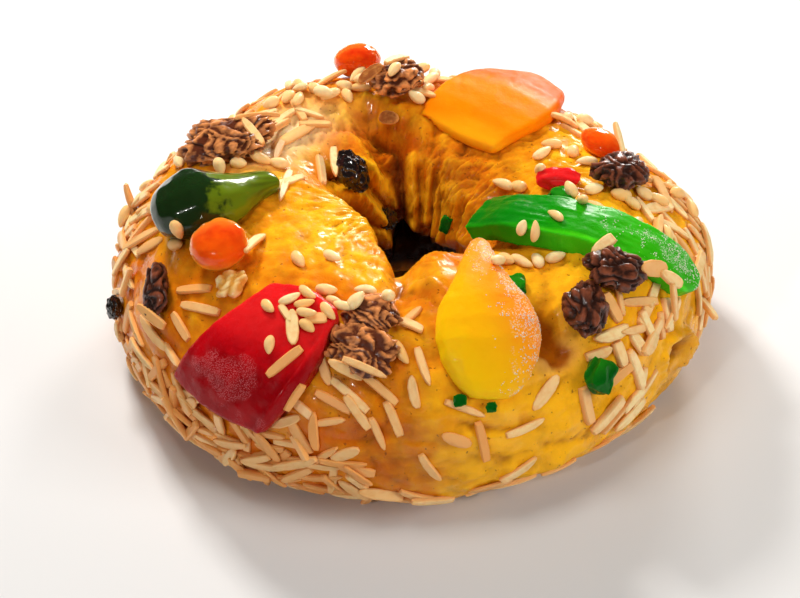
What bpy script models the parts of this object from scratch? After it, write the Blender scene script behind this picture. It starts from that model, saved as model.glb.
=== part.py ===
"""Roscon de reyes: a plump ring of sweet bread dressed with candied fruit, walnuts and raisins.

The ring stands on Z = 0 with its hole round the Z axis. A place on its skin is given by two angles in degrees:
the bearing goes round the hole (0 is +X, 90 is +Y) and the roll goes round the section of the ring
(0 faces outwards, 90 is the crown, 180 faces the hole). Sizes are in millimetres until a mesh is written.
"""

import math

import bmesh
import bpy
import numpy as np
from mathutils import Matrix, Vector, noise

MM = 0.001
COLLECTION = "roscon_de_reyes"
CUTTERS = "cutters"
CLEARANCE = 0.5

# Driving dimensions of the baked ring.
RING_OUTER_R = 117.0
HOLE_R = 21.0
RING_HEIGHT = 76.0
WIDEST_Z = 27.0
BASE_SINK = 5.0
AROUND = 78
ACROSS = 25

# How the ring's outer radius, hole radius and height differ from the driving ones at each bearing.
STATIONS = {
    0: (-2.0, 2.0, -5.0),
    45: (-8.0, 5.0, -5.0),
    90: (-9.0, 9.0, -4.0),
    135: (-6.0, 5.0, -6.0),
    180: (-3.0, 2.0, -5.0),
    225: (-8.0, 0.0, -2.0),
    270: (-11.5, 1.0, -2.0),
    315: (-9.0, 2.0, -3.0),
}

# Swellings of the dough, and hollows where the rise is negative:
# bearing, roll, rise, spread along the bearing, spread along the roll, direction of the push as a roll.
LUMPS = (
    (205, 132, 17.0, 46, 32, 172),
    (172, 118, 7.0, 26, 26, 160),
    (291, 126, 9.0, 17, 26, 165),
    (350, 112, 4.0, 24, 40, 112),
    (60, 140, 4.0, 34, 40, 150),
    (118, 76, 5.0, 17, 26, 85),
    (98, 96, 3.5, 9, 16, 100),
    (160, 60, 2.5, 24, 30, 60),
    (250, 20, 3.0, 40, 26, 15),
    (318, 62, 3.0, 18, 28, 62),
    (10, 30, 2.5, 26, 26, 30),
    (306, -48, -8.0, 17, 20, 0),
    (302, -8, 2.5, 10, 14, 0),
    (334, -18, -6.0, 7, 14, 10),
    (262, -42, -4.0, 16, 14, 0),
)

# Folds of the dough: from one bearing and roll to another, the rise (negative for a crease) and the width.
FOLDS = (
    ((106, 104), (99, 182), -10.0, 7.0),
    ((136, 134), (116, 172), 6.0, 7.5),
    ((146, 150), (136, 190), -6.0, 7.0),
    ((117, 128), (107, 150), 6.0, 6.5),
    ((124, 146), (112, 158), -3.0, 4.0),
    ((106, 172), (106, 190), 5.0, 6.5),
    ((96, 96), (84, 118), 3.0, 7.0),
    ((85, 136), (83, 172), 3.0, 4.0),
    ((75, 134), (71, 172), 3.0, 4.0),
    ((64, 132), (59, 172), 3.0, 4.5),
    ((51, 136), (46, 172), 3.5, 5.0),
    ((36, 128), (34, 170), 2.5, 6.0),
    ((267, 92), (262, 150), -7.0, 7.0),
    ((256, 118), (262, 96), 2.5, 6.0),
    ((303, 96), (303, 26), -5.0, 8.0),
    ((320, 92), (330, 128), -4.0, 8.0),
    ((312, 86), (312, 44), -2.5, 5.0),
    ((184, 74), (196, 12), -2.5, 10.0),
    ((150, 108), (120, 104), -2.0, 8.0),
    ((24, 66), (34, 2), -3.5, 9.0),
    ((142, 60), (132, 4), -4.0, 8.0),
    ((78, 44), (104, 16), -3.0, 9.0),
)

NOISE_RISE = 1.6
NOISE_GRAIN = 34.0

# Colour, roughness of each finish; nothing here is metallic.
FINISHES = {
    "dough": ((0.80, 0.36, 0.05), 0.35),
    "red_fruit": ((0.55, 0.005, 0.01), 0.2),
    "orange_fruit": ((0.95, 0.28, 0.01), 0.25),
    "yellow_fruit": ((0.95, 0.50, 0.02), 0.25),
    "green_fruit": ((0.005, 0.36, 0.03), 0.2),
    "fig": ((0.02, 0.07, 0.01), 0.15),
    "cherry": ((0.85, 0.10, 0.01), 0.12),
    "walnut": ((0.24, 0.11, 0.05), 0.5),
    "raisin": ((0.012, 0.008, 0.007), 0.3),
}

# Candied slabs, draped on the dough: three rows from foot to top, each of three places across,
# and each place a bearing, a roll and the height of the slab's upper face over the dough.
SLABS = {
    "fruit_red_slab": {
        "finish_name": "red_fruit",
        "thickness": 9.5,
        "rows": (
            ((220, 17, 3.5), (231, 15, 5.0), (243, 15, 6.5)),
            ((224, 44, 4.5), (237, 45, 8.0), (250, 42, 8.0)),
            ((231, 76, 5.0), (241, 79, 6.0), (252, 72, 6.5)),
        ),
    },
    "fruit_orange_slab": {
        "finish_name": "orange_fruit",
        "thickness": 7.5,
        "rows": (
            ((50, 50, 6.0), (59, 50, 9.0), (68, 54, 6.0)),
            ((39, 89, 5.0), (58, 88, 6.0), (77, 83, 5.0)),
            ((42, 118, 4.0), (65, 120, 4.0), (87, 113, 3.5)),
        ),
    },
}
SLAB_CUTS = 7
SLAB_EDGE = 1.6

# Long candied pieces: the places of the spine (bearing, roll, lift off the dough), the half widths and the
# heights along it, how deep it sinks, how blunt its ends are (0 is square-cut), how round its section is
# (0 is square), and its points round the section and along the spine.
SPINED = {
    "fruit_pear_slab": {
        "finish_name": "yellow_fruit",
        "spine": ((309, 121, 2.5), (294, 96, 0.0), (289, 66, 0.0), (286, 33, 0.0)),
        "widths": (2.0, 5.5, 11.0, 17.5, 20.5, 17.0),
        "heights": (4.0, 6.5, 8.0, 8.5, 8.5, 6.5),
        "sink": 5.0,
        "blunt": 0.55,
        "roundness": 0.7,
        "around": 14,
        "along": 15,
    },
    "fruit_melon_strip": {
        "finish_name": "green_fruit",
        "spine": ((340, 135, 7.5), (334, 114, 2.0), (336, 87, 0.0), (339, 60, 0.0), (344, 30, 0.0)),
        "widths": (8.0, 10.0, 11.5, 11.5, 11.0, 9.5),
        "heights": (7.0, 7.5, 7.5, 7.5, 7.5, 7.0),
        "sink": 4.0,
        "blunt": 0.35,
        "roundness": 0.7,
        "around": 12,
        "along": 18,
    },
    "fruit_fig": {
        "finish_name": "fig",
        "spine": ((188, 60, 5.0), (190, 76, 5.5), (186, 89, 5.0), (178, 101, 4.5)),
        "widths": (13.0, 16.0, 16.0, 10.5, 6.0, 6.0),
        "heights": (13.0, 14.5, 14.0, 9.0, 5.5, 5.0),
        "sink": 9.0,
        "blunt": 0.5,
        "roundness": 1.0,
        "around": 14,
        "along": 13,
    },
}

# Round pieces: finish, place (bearing, roll), turn, size (length, width, height), how deep it sits in the dough
# and how uneven it is.
ROUND_FRUIT = {
    "cherry_left": ("cherry", (211, 74), 0, (23.0, 23.0, 21.0), 6.0, 0.05),
    "cherry_back": ("cherry", (104, 66), 0, (20.0, 20.0, 18.0), 4.5, 0.05),
    "cherry_right": ("cherry", (22, 76), 30, (19.0, 15.0, 14.0), 3.5, 0.15),
    "fruit_red_bit": ("red_fruit", (5, 103), 75, (15.0, 9.0, 8.0), 2.5, 0.2),
    "fruit_green_bit": ("green_fruit", (352, 101), 60, (10.0, 8.0, 7.0), 2.0, 0.25),
    "fruit_green_crown": ("green_fruit", (305, 88), 70, (10.0, 8.0, 8.0), 3.0, 0.25),
    "fruit_green_hole": ("green_fruit", (48, 160), 90, (12.0, 7.0, 8.0), 2.5, 0.25),
    "fruit_green_cube": ("green_fruit", (310, 28), 20, (13.0, 11.0, 11.0), 3.0, 0.35),
    "fruit_green_foot_left": ("green_fruit", (280, 35), 10, (8.0, 7.0, 6.0), 2.5, 0.25),
    "fruit_green_foot_right": ("green_fruit", (286, 31), 80, (8.0, 7.0, 6.0), 2.5, 0.25),
    "prune": ("raisin", (136, 132), 80, (17.0, 13.0, 11.0), 3.0, 0.35),
    "raisin_left": ("raisin", (190, 6), 80, (10.0, 8.5, 8.0), 2.0, 0.4),
    "raisin_hole": ("raisin", (113, 163), 70, (9.0, 8.0, 8.0), 1.0, 0.3),
}

# Walnut pieces: place (bearing, roll), turn, size (length, width, height) and how deep it sits in the dough.
WALNUTS = {
    "walnut_left_back": ((157, 80), 105, (38.0, 25.0, 17.0), 4.5),
    "walnut_left": ((206, 42), -36, (23.0, 11.0, 12.0), 3.5),
    "walnut_back": ((94, 92), 10, (23.0, 19.0, 16.0), 4.0),
    "walnut_front_lower": ((259, 56), -12, (27.0, 18.0, 14.0), 3.5),
    "walnut_front_upper": ((260, 75), -5, (21.0, 15.0, 13.0), 3.5),
    "walnut_right_upper": ((326, 63), -38, (23.0, 14.0, 14.0), 3.0),
    "walnut_right_lower": ((314, 57), 50, (20.0, 13.0, 14.0), 3.0),
    "walnut_right_back": ((6, 78), -50, (26.0, 17.0, 15.0), 3.5),
    "walnut_pale": ((221, 66), 60, (13.0, 11.0, 9.0), 2.5),
    "walnut_far_side": ((68, 24), 35, (26.0, 18.0, 14.0), 4.0),
}
WALNUT_LOBES = 3.2
WALNUT_LOBE_RISE = 0.12
WALNUT_FURROW = 0.22
WALNUT_BUMPS = 0.14


def angle_gap(a, b):
    """Signed difference between two angles in degrees, between -180 and 180."""
    return (a - b + 180.0) % 360.0 - 180.0


def station_values(bearing):
    """Outer radius, hole radius and height at a bearing, eased between the stations."""
    marks = sorted(STATIONS)
    step = 360.0 / len(marks)
    share = (bearing % 360.0) / step
    lower = np.floor(share).astype(int) % len(marks)
    upper = (lower + 1) % len(marks)
    mix = share - np.floor(share)
    mix = mix * mix * (3.0 - 2.0 * mix)
    table = np.array([STATIONS[m] for m in marks])
    offsets = table[lower] * (1.0 - mix[..., None]) + table[upper] * mix[..., None]
    base = np.array((RING_OUTER_R, HOLE_R, RING_HEIGHT))
    values = base + offsets
    return values[..., 0], values[..., 1], values[..., 2]


def lump_push(bearing, roll):
    """Sum of the swellings at a place on the skin, as a push outwards and a push upwards."""
    out, up = np.zeros_like(bearing), np.zeros_like(bearing)
    for at_bearing, at_roll, rise, wide, tall, way in LUMPS:
        far = (angle_gap(bearing, at_bearing) / wide) ** 2 + (angle_gap(roll, at_roll) / tall) ** 2
        push = rise * np.exp(-far)
        out += push * math.cos(math.radians(way))
        up += push * math.sin(math.radians(way))
    return out, up


def fold_rise(bearing, roll):
    """Sum of the folds at a place on the skin, each along a straight run of the two angles."""
    total = np.zeros_like(bearing)
    for (b1, r1), (b2, r2), rise, wide in FOLDS:
        run_b, run_r = angle_gap(b2, b1), angle_gap(r2, r1)
        db, dr = angle_gap(bearing, b1), angle_gap(roll, r1)
        share = np.clip((db * run_b + dr * run_r) / (run_b**2 + run_r**2), 0.0, 1.0)
        gap = np.hypot(db - share * run_b, (dr - share * run_r) * 0.6)
        total += rise * np.exp(-((gap / wide) ** 2))
    return total


def skin(bearing, roll, folds=True):
    """Points of the dough's skin, as an array of x, y, z, for arrays of bearing and roll."""
    bearing, roll = np.broadcast_arrays(np.asarray(bearing, float), np.asarray(roll, float))
    outer, hole, height = station_values(bearing)
    half_width = (outer - hole) / 2.0
    middle = (outer + hole) / 2.0
    c, s = np.cos(np.radians(roll)), np.sin(np.radians(roll))
    upper = height - WIDEST_Z
    lower = WIDEST_Z + BASE_SINK
    out = half_width * np.sign(c) * np.abs(c) ** np.where(s > 0, 0.95, 0.72)
    up = np.where(s > 0, upper * np.abs(s) ** 0.95, -lower * np.abs(s) ** 0.8)
    push_out, push_up = lump_push(bearing, roll)
    if folds:
        fold = fold_rise(bearing, roll)
        push_out = push_out + fold * c
        push_up = push_up + fold * s
    keep = np.clip((up + WIDEST_Z) / 12.0, 0.0, 1.0)
    radius = middle + out + push_out * keep
    turn = np.radians(bearing)
    z = np.maximum(WIDEST_Z + up + push_up * keep, 0.0)
    return np.stack((radius * np.cos(turn), radius * np.sin(turn), z), axis=-1)


def uneven(points, rise=NOISE_RISE, grain=NOISE_GRAIN):
    """Soft unevenness of hand-shaped dough, added outwards from the section's middle."""
    moved = points.copy()
    middle_r = (RING_OUTER_R + HOLE_R) / 2.0
    for i, point in enumerate(points):
        if point[2] <= 0.0:
            continue
        radius = math.hypot(point[0], point[1])
        hub = Vector((point[0] * middle_r / radius, point[1] * middle_r / radius, WIDEST_Z))
        out = (Vector(point) - hub).normalized()
        amount = rise * noise.noise(Vector(point) / grain)
        fade = min(1.0, point[2] / 10.0)
        moved[i] = point + np.array(out) * amount * fade
    return moved


def eased(values, share):
    """Smooth run through evenly spaced values, read at shares between 0 and 1 (Catmull-Rom)."""
    values = np.asarray(values, float)
    last = len(values) - 1
    ends = np.concatenate((2 * values[:1] - values[1:2], values, 2 * values[-1:] - values[-2:-1]))
    spot = np.clip(np.asarray(share, float), 0.0, 1.0) * last
    start = np.minimum(np.floor(spot).astype(int), last - 1)
    t = spot - start
    t = t.reshape(t.shape + (1,) * (values.ndim - 1))
    before, here, after, beyond = (ends[start + k] for k in range(4))
    return 0.5 * (
        2 * here
        + (after - before) * t
        + (2 * before - 5 * here + 4 * after - beyond) * t**2
        + (3 * here - before - 3 * after + beyond) * t**3
    )


def skin_frame(bearing, roll, step=2.0):
    """Unit directions at places on the smooth skin: along the bearing, along the roll, and outwards."""
    bearing, roll = np.asarray(bearing, float), np.asarray(roll, float)
    along = skin(bearing + step, roll, folds=False) - skin(bearing - step, roll, folds=False)
    across = skin(bearing, roll + step, folds=False) - skin(bearing, roll - step, folds=False)
    along /= np.linalg.norm(along, axis=-1, keepdims=True)
    out = np.cross(along, across)
    out /= np.linalg.norm(out, axis=-1, keepdims=True)
    return along, np.cross(out, along), out


def lifted(bearing, roll, height):
    """Points over the smooth skin at a height along its outward direction."""
    out = skin_frame(bearing, roll)[2]
    return skin(bearing, roll, folds=False) + out * np.asarray(height, float)[..., None]


def fresh_scene():
    """An empty scene with a collection for the parts and one for the cutters."""
    for thing in list(bpy.data.objects):
        bpy.data.objects.remove(thing)
    for name in (COLLECTION, CUTTERS):
        bpy.context.scene.collection.children.link(bpy.data.collections.new(name))


def keep_in(thing, name):
    """Move an object to one of the two collections."""
    for home in list(thing.users_collection):
        home.objects.unlink(thing)
    bpy.data.collections[name].objects.link(thing)


def finish(piece, name, finish_name):
    """Name a new piece, give it its material and put it with the parts."""
    piece.name = piece.data.name = name
    colour, roughness = FINISHES[finish_name]
    material = bpy.data.materials.get(finish_name)
    if material is None:
        material = bpy.data.materials.new(finish_name)
        material.use_nodes = True
        shader = material.node_tree.nodes["Principled BSDF"]
        shader.inputs["Base Color"].default_value = (*colour, 1.0)
        shader.inputs["Roughness"].default_value = roughness
        shader.inputs["Metallic"].default_value = 0.0
    piece.data.materials.append(material)
    piece.data.shade_smooth()
    keep_in(piece, COLLECTION)
    return piece


def corners(piece):
    """The points of a primitive's mesh as an array."""
    return np.array([tuple(v.co) for v in piece.data.vertices])


def reshape(piece, points):
    """Carry a primitive's points to new places, given in millimetres."""
    piece.data.vertices.foreach_set("co", (points * MM).ravel())
    piece.data.update()


def swollen_copy(piece):
    """A hidden cutter: the piece's own shape, larger by the clearance all round."""
    depsgraph = bpy.context.evaluated_depsgraph_get()
    mesh = bpy.data.meshes.new_from_object(piece.evaluated_get(depsgraph))
    mesh.transform(piece.matrix_world)
    shell = bmesh.new()
    shell.from_mesh(mesh)
    steps = [v.normal * min(v.calc_shell_factor(), 2.0) * CLEARANCE * MM for v in shell.verts]
    for v, step in zip(shell.verts, steps):
        v.co += step
    shell.to_mesh(mesh)
    shell.free()
    cutter = bpy.data.objects.new(piece.name + "_cutter", mesh)
    cutter.hide_render = True
    cutter.display_type = "WIRE"
    bpy.data.collections[CUTTERS].objects.link(cutter)
    return cutter


def boxes_meet(one, other):
    """Whether two objects' boxes in the world overlap."""
    spans = []
    for thing in (one, other):
        places = np.array([tuple(thing.matrix_world @ Vector(c)) for c in thing.bound_box])
        spans.append((places.min(axis=0), places.max(axis=0)))
    (low_a, high_a), (low_b, high_b) = spans
    return bool(np.all(low_a < high_b) and np.all(low_b < high_a))


def seat(piece, cutters):
    """Cut a topping clear of the dough and of the toppings that were laid before it."""
    piece.modifiers.new("flat_facets", "TRIANGULATE")
    bpy.context.view_layer.update()
    own_cutter = swollen_copy(piece)
    for cutter in cutters:
        if boxes_meet(own_cutter, cutter):
            cut = piece.modifiers.new("clear_of_" + cutter.name, "BOOLEAN")
            cut.operation = "DIFFERENCE"
            cut.solver = "EXACT"
            cut.object = cutter
    cutters.append(own_cutter)


def make_ring():
    """The baked dough: a torus primitive whose points are carried to the skin."""
    bpy.ops.mesh.primitive_torus_add(
        major_segments=AROUND,
        minor_segments=ACROSS,
        major_radius=1.0,
        minor_radius=0.25,
    )
    ring = bpy.context.object
    places = corners(ring)
    bearing = np.degrees(np.arctan2(places[:, 1], places[:, 0]))
    roll = np.degrees(np.arctan2(places[:, 2], np.hypot(places[:, 0], places[:, 1]) - 1.0))
    reshape(ring, uneven(skin(bearing, roll)))
    return finish(ring, "dough_ring", "dough")


def make_slab(name, finish_name, thickness, rows):
    """A candied slab: a grid laid over its rows of places, thickened down into the dough, edges eased."""
    bpy.ops.mesh.primitive_grid_add(x_subdivisions=SLAB_CUTS, y_subdivisions=SLAB_CUTS, size=2.0)
    slab = bpy.context.object
    share = (corners(slab)[:, :2] + 1.0) / 2.0
    lines = np.array([eased(row, share[:, 0]) for row in rows])
    spots = np.array([eased(lines[:, i], share[i, 1]) for i in range(len(share))])
    reshape(slab, lifted(spots[:, 0], spots[:, 1], spots[:, 2]))
    finish(slab, name, finish_name)
    wall = slab.modifiers.new("thickness", "SOLIDIFY")
    wall.thickness = thickness * MM
    wall.offset = -1.0
    easing = slab.modifiers.new("eased_edges", "BEVEL")
    easing.width = SLAB_EDGE * MM
    easing.segments = 1
    easing.limit_method = "ANGLE"
    easing.angle_limit = math.radians(40)
    return slab


def spine_sides(spine, share):
    """Places along a spine, and how far bearing and roll change for a millimetre to its left."""
    line = eased(spine, share)
    ahead = eased(spine, share + 0.02) - eased(spine, share - 0.02)
    along, across, out = skin_frame(line[:, 0], line[:, 1])
    hub_r = np.linalg.norm(skin(line[:, 0], line[:, 1], folds=False)[:, :2], axis=1)
    section_r = (RING_OUTER_R - HOLE_R) / 2.0
    run = np.radians(ahead[:, :1]) * hub_r[:, None] * along + np.radians(ahead[:, 1:2]) * section_r * across
    run /= np.linalg.norm(run, axis=1, keepdims=True)
    left = np.cross(out, run)
    per_bearing = np.degrees((left * along).sum(axis=1) / hub_r)
    per_roll = np.degrees((left * across).sum(axis=1) / section_r)
    return line, per_bearing, per_roll


def make_spined(name, finish_name, spine, widths, heights, sink, blunt, roundness, around, along):
    """A long candied piece: a sphere primitive stretched along a spine that lies on the dough."""
    bpy.ops.mesh.primitive_uv_sphere_add(segments=around, ring_count=along, radius=1.0)
    piece = bpy.context.object
    places = corners(piece)
    share = (1.0 + places[:, 2]) / 2.0
    swell = np.sqrt(np.clip(1.0 - places[:, 2] ** 2, 0.0, 1.0)) ** blunt
    turn = np.arctan2(places[:, 1], places[:, 0])
    side = np.sign(np.cos(turn)) * np.abs(np.cos(turn)) ** roundness
    rise = np.sign(np.sin(turn)) * np.abs(np.sin(turn)) ** roundness
    line, per_bearing, per_roll = spine_sides(spine, share)
    left = side * swell * eased(widths, share)
    tall = rise * swell * np.where(rise > 0, eased(heights, share), sink)
    reshape(piece, lifted(line[:, 0] + left * per_bearing, line[:, 1] + left * per_roll, line[:, 2] + tall))
    return finish(piece, name, finish_name)


def settle(piece, place, turn, sunk):
    """Stand a piece on the dough: its Z outwards, its X turned from the bearing's direction, sunk a little."""
    along, across, out = (np.array(d) for d in skin_frame(*place))
    spot = uneven(skin(*place).reshape(1, 3))[0] - out * sunk
    angle = math.radians(turn)
    ahead = along * math.cos(angle) + across * math.sin(angle)
    frame = Matrix(np.column_stack((ahead, np.cross(out, ahead), out)).tolist()).to_4x4()
    piece.matrix_world = Matrix.Translation(Vector(spot * MM)) @ frame


def make_round(name, finish_name, place, turn, size, sunk, rough):
    """A cherry, raisin or cut of fruit: a sphere primitive pressed to its size and made a little uneven."""
    around, along = (12, 8) if size[0] > 16.0 else (8, 6)
    bpy.ops.mesh.primitive_uv_sphere_add(segments=around, ring_count=along, radius=1.0)
    piece = bpy.context.object
    places = corners(piece)
    seed = Vector((place[0] * 0.37, place[1] * 0.53, sum(size) * 0.29))
    bumps = np.array([noise.noise(Vector(p) * 1.7 + seed) for p in places])
    half = np.array(size) / 2.0
    points = places * half * (1.0 + rough * bumps)[:, None]
    points[:, 2] += half[2]
    reshape(piece, points)
    finish(piece, name, finish_name)
    settle(piece, place, turn, sunk)
    return piece


def make_walnut(name, place, turn, size, sunk):
    """A walnut piece: a sphere primitive with a furrow along its back and lobes down both sides."""
    bpy.ops.mesh.primitive_uv_sphere_add(segments=12, ring_count=7, radius=1.0, rotation=(0, math.pi / 2, 0))
    bpy.ops.object.transform_apply(location=False, rotation=True, scale=False)
    nut = bpy.context.object
    places = corners(nut)
    seed = Vector((place[0] * 0.41, place[1] * 0.31, sum(size) * 0.17))
    bumps = np.array([noise.noise(Vector(p) * 2.1 + seed) for p in places])
    lobes = np.cos(places[:, 0] * WALNUT_LOBES * math.pi / 2 + np.sign(places[:, 1]) * 0.7)
    lobes *= np.abs(places[:, 1])
    furrow = np.exp(-((places[:, 1] / 0.22) ** 2)) * (places[:, 2] > 0)
    swell = 0.92 + WALNUT_LOBE_RISE * lobes + WALNUT_BUMPS * bumps - WALNUT_FURROW * furrow
    blunt = (np.abs(places) ** 2.5).sum(axis=1) ** (-1.0 / 2.5)
    half = np.array(size) / 2.0
    points = places * half * (swell * blunt)[:, None]
    points[:, 2] += half[2] * 0.7
    reshape(nut, points)
    finish(nut, name, "walnut")
    settle(nut, place, turn, sunk)
    return nut


def main():
    fresh_scene()
    cutters = []
    seat(make_ring(), cutters)
    for name, values in SLABS.items():
        seat(make_slab(name, **values), cutters)
    for name, values in SPINED.items():
        seat(make_spined(name, **values), cutters)
    for name, values in ROUND_FRUIT.items():
        seat(make_round(name, *values), cutters)
    for name, values in WALNUTS.items():
        seat(make_walnut(name, *values), cutters)


main()
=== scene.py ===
"""Looks of the roscon de reyes: a ring of glazed sweet bread dressed with candied fruit and nuts.

A place on the ring is given by two angles in degrees: the bearing goes round the hole (0 is +X, 90 is +Y) and
the roll goes round the ring's core (0 faces outwards, 90 is the crown, 180 faces the hole). Lengths are in
metres, and in the tables of places in millimetres.
"""

import math
import random

import bpy
import numpy as np
from mathutils import Matrix, Vector, noise
from mathutils.bvhtree import BVHTree


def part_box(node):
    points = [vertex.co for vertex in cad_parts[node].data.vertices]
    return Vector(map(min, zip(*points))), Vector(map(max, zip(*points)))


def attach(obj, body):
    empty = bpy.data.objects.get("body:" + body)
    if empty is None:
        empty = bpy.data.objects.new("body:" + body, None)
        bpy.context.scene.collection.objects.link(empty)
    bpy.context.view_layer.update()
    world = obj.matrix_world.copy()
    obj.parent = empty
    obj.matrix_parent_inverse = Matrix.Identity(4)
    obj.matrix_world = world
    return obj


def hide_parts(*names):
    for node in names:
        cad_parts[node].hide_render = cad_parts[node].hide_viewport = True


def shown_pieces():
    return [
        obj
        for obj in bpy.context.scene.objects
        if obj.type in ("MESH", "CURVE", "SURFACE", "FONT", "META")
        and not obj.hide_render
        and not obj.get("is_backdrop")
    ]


bl_info = {
    "name": "Roscon de reyes",
    "version": (1, 0, 0),
    "blender": (4, 5, 0),
    "location": "3D View > Sidebar > Roscon",
    "description": "Dresses the frame of a festive bread ring with its glazed dough, candied fruit and nuts",
    "category": "Object",
}

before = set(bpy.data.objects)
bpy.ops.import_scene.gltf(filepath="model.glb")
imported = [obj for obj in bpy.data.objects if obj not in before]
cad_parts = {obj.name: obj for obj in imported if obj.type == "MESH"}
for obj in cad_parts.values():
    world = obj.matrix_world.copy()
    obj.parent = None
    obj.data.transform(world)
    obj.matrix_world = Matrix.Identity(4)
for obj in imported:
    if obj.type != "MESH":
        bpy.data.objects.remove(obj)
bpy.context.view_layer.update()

MM = 0.001
ROOT = "root"

# The ring's core: the circle from which the rolls are read. A ray towards it starts at its reach.
CORE_RADIUS = 0.0645
CORE_HEIGHT = 0.027
REACH = 0.0635

# Grid of the dough: places round the ring, rows over the side and the crown, rows under the base.
AROUND = 512
SIDE_ROWS = 172
BASE_ROWS = 20
BASE_STARTS = 216.0
SIDE_STARTS = -34.0

# The drips on the hole's wall end at this roll, and overhang what is under them.
DRIPS_END = 173.0
DRIP_OVERHANG = 3.5 * MM

# Mean distance of the skin from the core, for patterns that run over it.
MEAN_REACH = 0.042

# Under toppings the dough is bridged from the cells round them, at these strides and for so many rounds each.
BRIDGE_STRIDES = (32, 16, 8, 4, 2, 1)
BRIDGE_ROUNDS = 24

# The folds fade out below the first height, the foot is toasted up to the second, and a fold counts as full
# from the last depth on.
PLAIN_FOOT = 8.0 * MM
TOASTED_FOOT = 12.0 * MM
FULL_FOLD = 2.0 * MM

# The angle up to which edges are shaded smooth when none is to stay sharp.
ALL_SMOOTH = 180.0

# Raised folds of the dough: places that the fold runs through, rise, half width (mm).
RIDGES = (
    # rim of the left lobe over the hole
    (((185, 135), (226, 139), (250, 131), (262, 122), (281, 112)), 1.4, 4.5),
    # curled petals left of the crevice
    (((124, 127), (115, 133), (109, 137), (103, 142), (100, 150), (99, 156)), 5.5, 3.0),
    (((142, 137), (133, 143), (124, 149), (117, 154), (114, 158)), 5.0, 3.0),
    (((117, 164), (110, 171), (103, 184)), 5.0, 3.4),
    (((156, 141), (145, 153), (134, 168)), 3.2, 3.2),
    # drips that hang down the wall behind the hole
    (((89, 128), (89, 148), (88, 168)), 3.6, 2.6),
    (((77, 130), (76, 148), (76, 163)), 3.0, 2.2),
    (((70, 118), (65, 130), (66, 150)), 1.8, 3.0),
    (((67, 146), (66, 158), (66, 168)), 3.2, 2.2),
    (((58, 130), (54, 150), (56, 168)), 3.4, 3.6),
    (((42, 140), (44, 152), (41, 164)), 2.6, 3.4),
    (((32, 134), (31, 148), (28, 160)), 2.2, 2.6),
    (((26, 128), (22, 146), (20, 160)), 2.4, 3.0),
    # folds beside the dome, and the lips of the pocket on the right flank
    (((105, 87), (100, 92), (96, 102)), 2.6, 2.8),
    (((119, 97), (112, 92), (105, 90)), 1.8, 2.6),
    (((331, 20), (338, 14), (341, 4), (340, -8)), 3.6, 1.8),
    (((329, 14), (330, 2), (334, -10)), 2.0, 2.2),
)

# Rounded swellings, such as the drips' ends: place, rise, half width (mm).
SWELLINGS = (
    ((88, 169), 2.2, 2.8),
    ((76, 163), 2.2, 2.4),
    ((66, 168), 2.4, 2.6),
    ((55, 168), 2.6, 2.8),
    ((42, 164), 2.0, 3.0),
    ((28, 161), 1.8, 2.8),
    ((114, 158), 2.2, 2.6),
    ((99, 155), 2.2, 2.4),
    ((104, 184), 2.4, 3.6),
    # hollow right of the pear, and the swellings round it and along the foot
    ((303, 57), -8.0, 7.0),
    ((305, 69), -3.5, 6.0),
    ((305, 44), -4.0, 5.0),
    ((316, 62), 3.0, 9.0),
    ((279, 100), 2.6, 5.0),
    ((290, -4), 2.0, 4.0),
    ((299, -6), 2.4, 3.4),
    ((310, 6), 1.6, 5.0),
    ((276, 40), 1.0, 8.0),
    ((288, 30), 1.2, 6.0),
)

# Creases: places that the crease runs through, depth, half width (mm).
CREASES = (
    (((104, 110), (96, 121), (94, 135), (94, 152), (93, 171), (93, 190)), 7.0, 2.2),
    (((141, 126), (128, 132), (119, 138), (115, 143), (108, 152), (105, 159)), 5.0, 1.4),
    (((150, 142), (139, 149), (130, 156), (121, 162), (112, 163)), 5.0, 1.5),
    (((84, 134), (82, 152), (81, 172)), 4.2, 1.2),
    (((72, 138), (71, 154), (71, 172)), 4.2, 1.2),
    (((64, 145), (61, 156), (62, 172)), 4.0, 1.4),
    (((47, 150), (49, 160), (48, 170)), 2.8, 1.6),
    (((35, 138), (38, 150), (36, 166)), 3.0, 1.4),
    (((78, 112), (76, 122), (79, 132)), 1.2, 1.2),
    (((60, 116), (57, 128), (60, 136)), 1.2, 1.2),
    (((268, 112), (265, 96), (268, 80), (274, 66)), 1.6, 1.6),
    (((262, 118), (264, 132), (260, 146)), 2.4, 1.5),
    (((143, 76), (132, 70), (120, 66), (108, 72)), 1.4, 1.2),
    (((196, 88), (206, 92), (216, 90)), 1.0, 1.6),
    (((280, 28), (288, 20), (297, 16)), 1.4, 1.4),
    (((266, 30), (262, 16), (264, 2)), 0.9, 1.6),
    (((120, 104), (112, 112), (108, 124)), 1.8, 1.3),
    (((288, 4), (296, 6), (304, 2), (312, -6)), 1.6, 1.4),
    # folds of the bulge left of the pear
    (((271, 101), (275, 92), (279, 84)), 1.6, 1.4),
    (((275, 108), (280, 99), (284, 92)), 1.4, 1.4),
)

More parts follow.
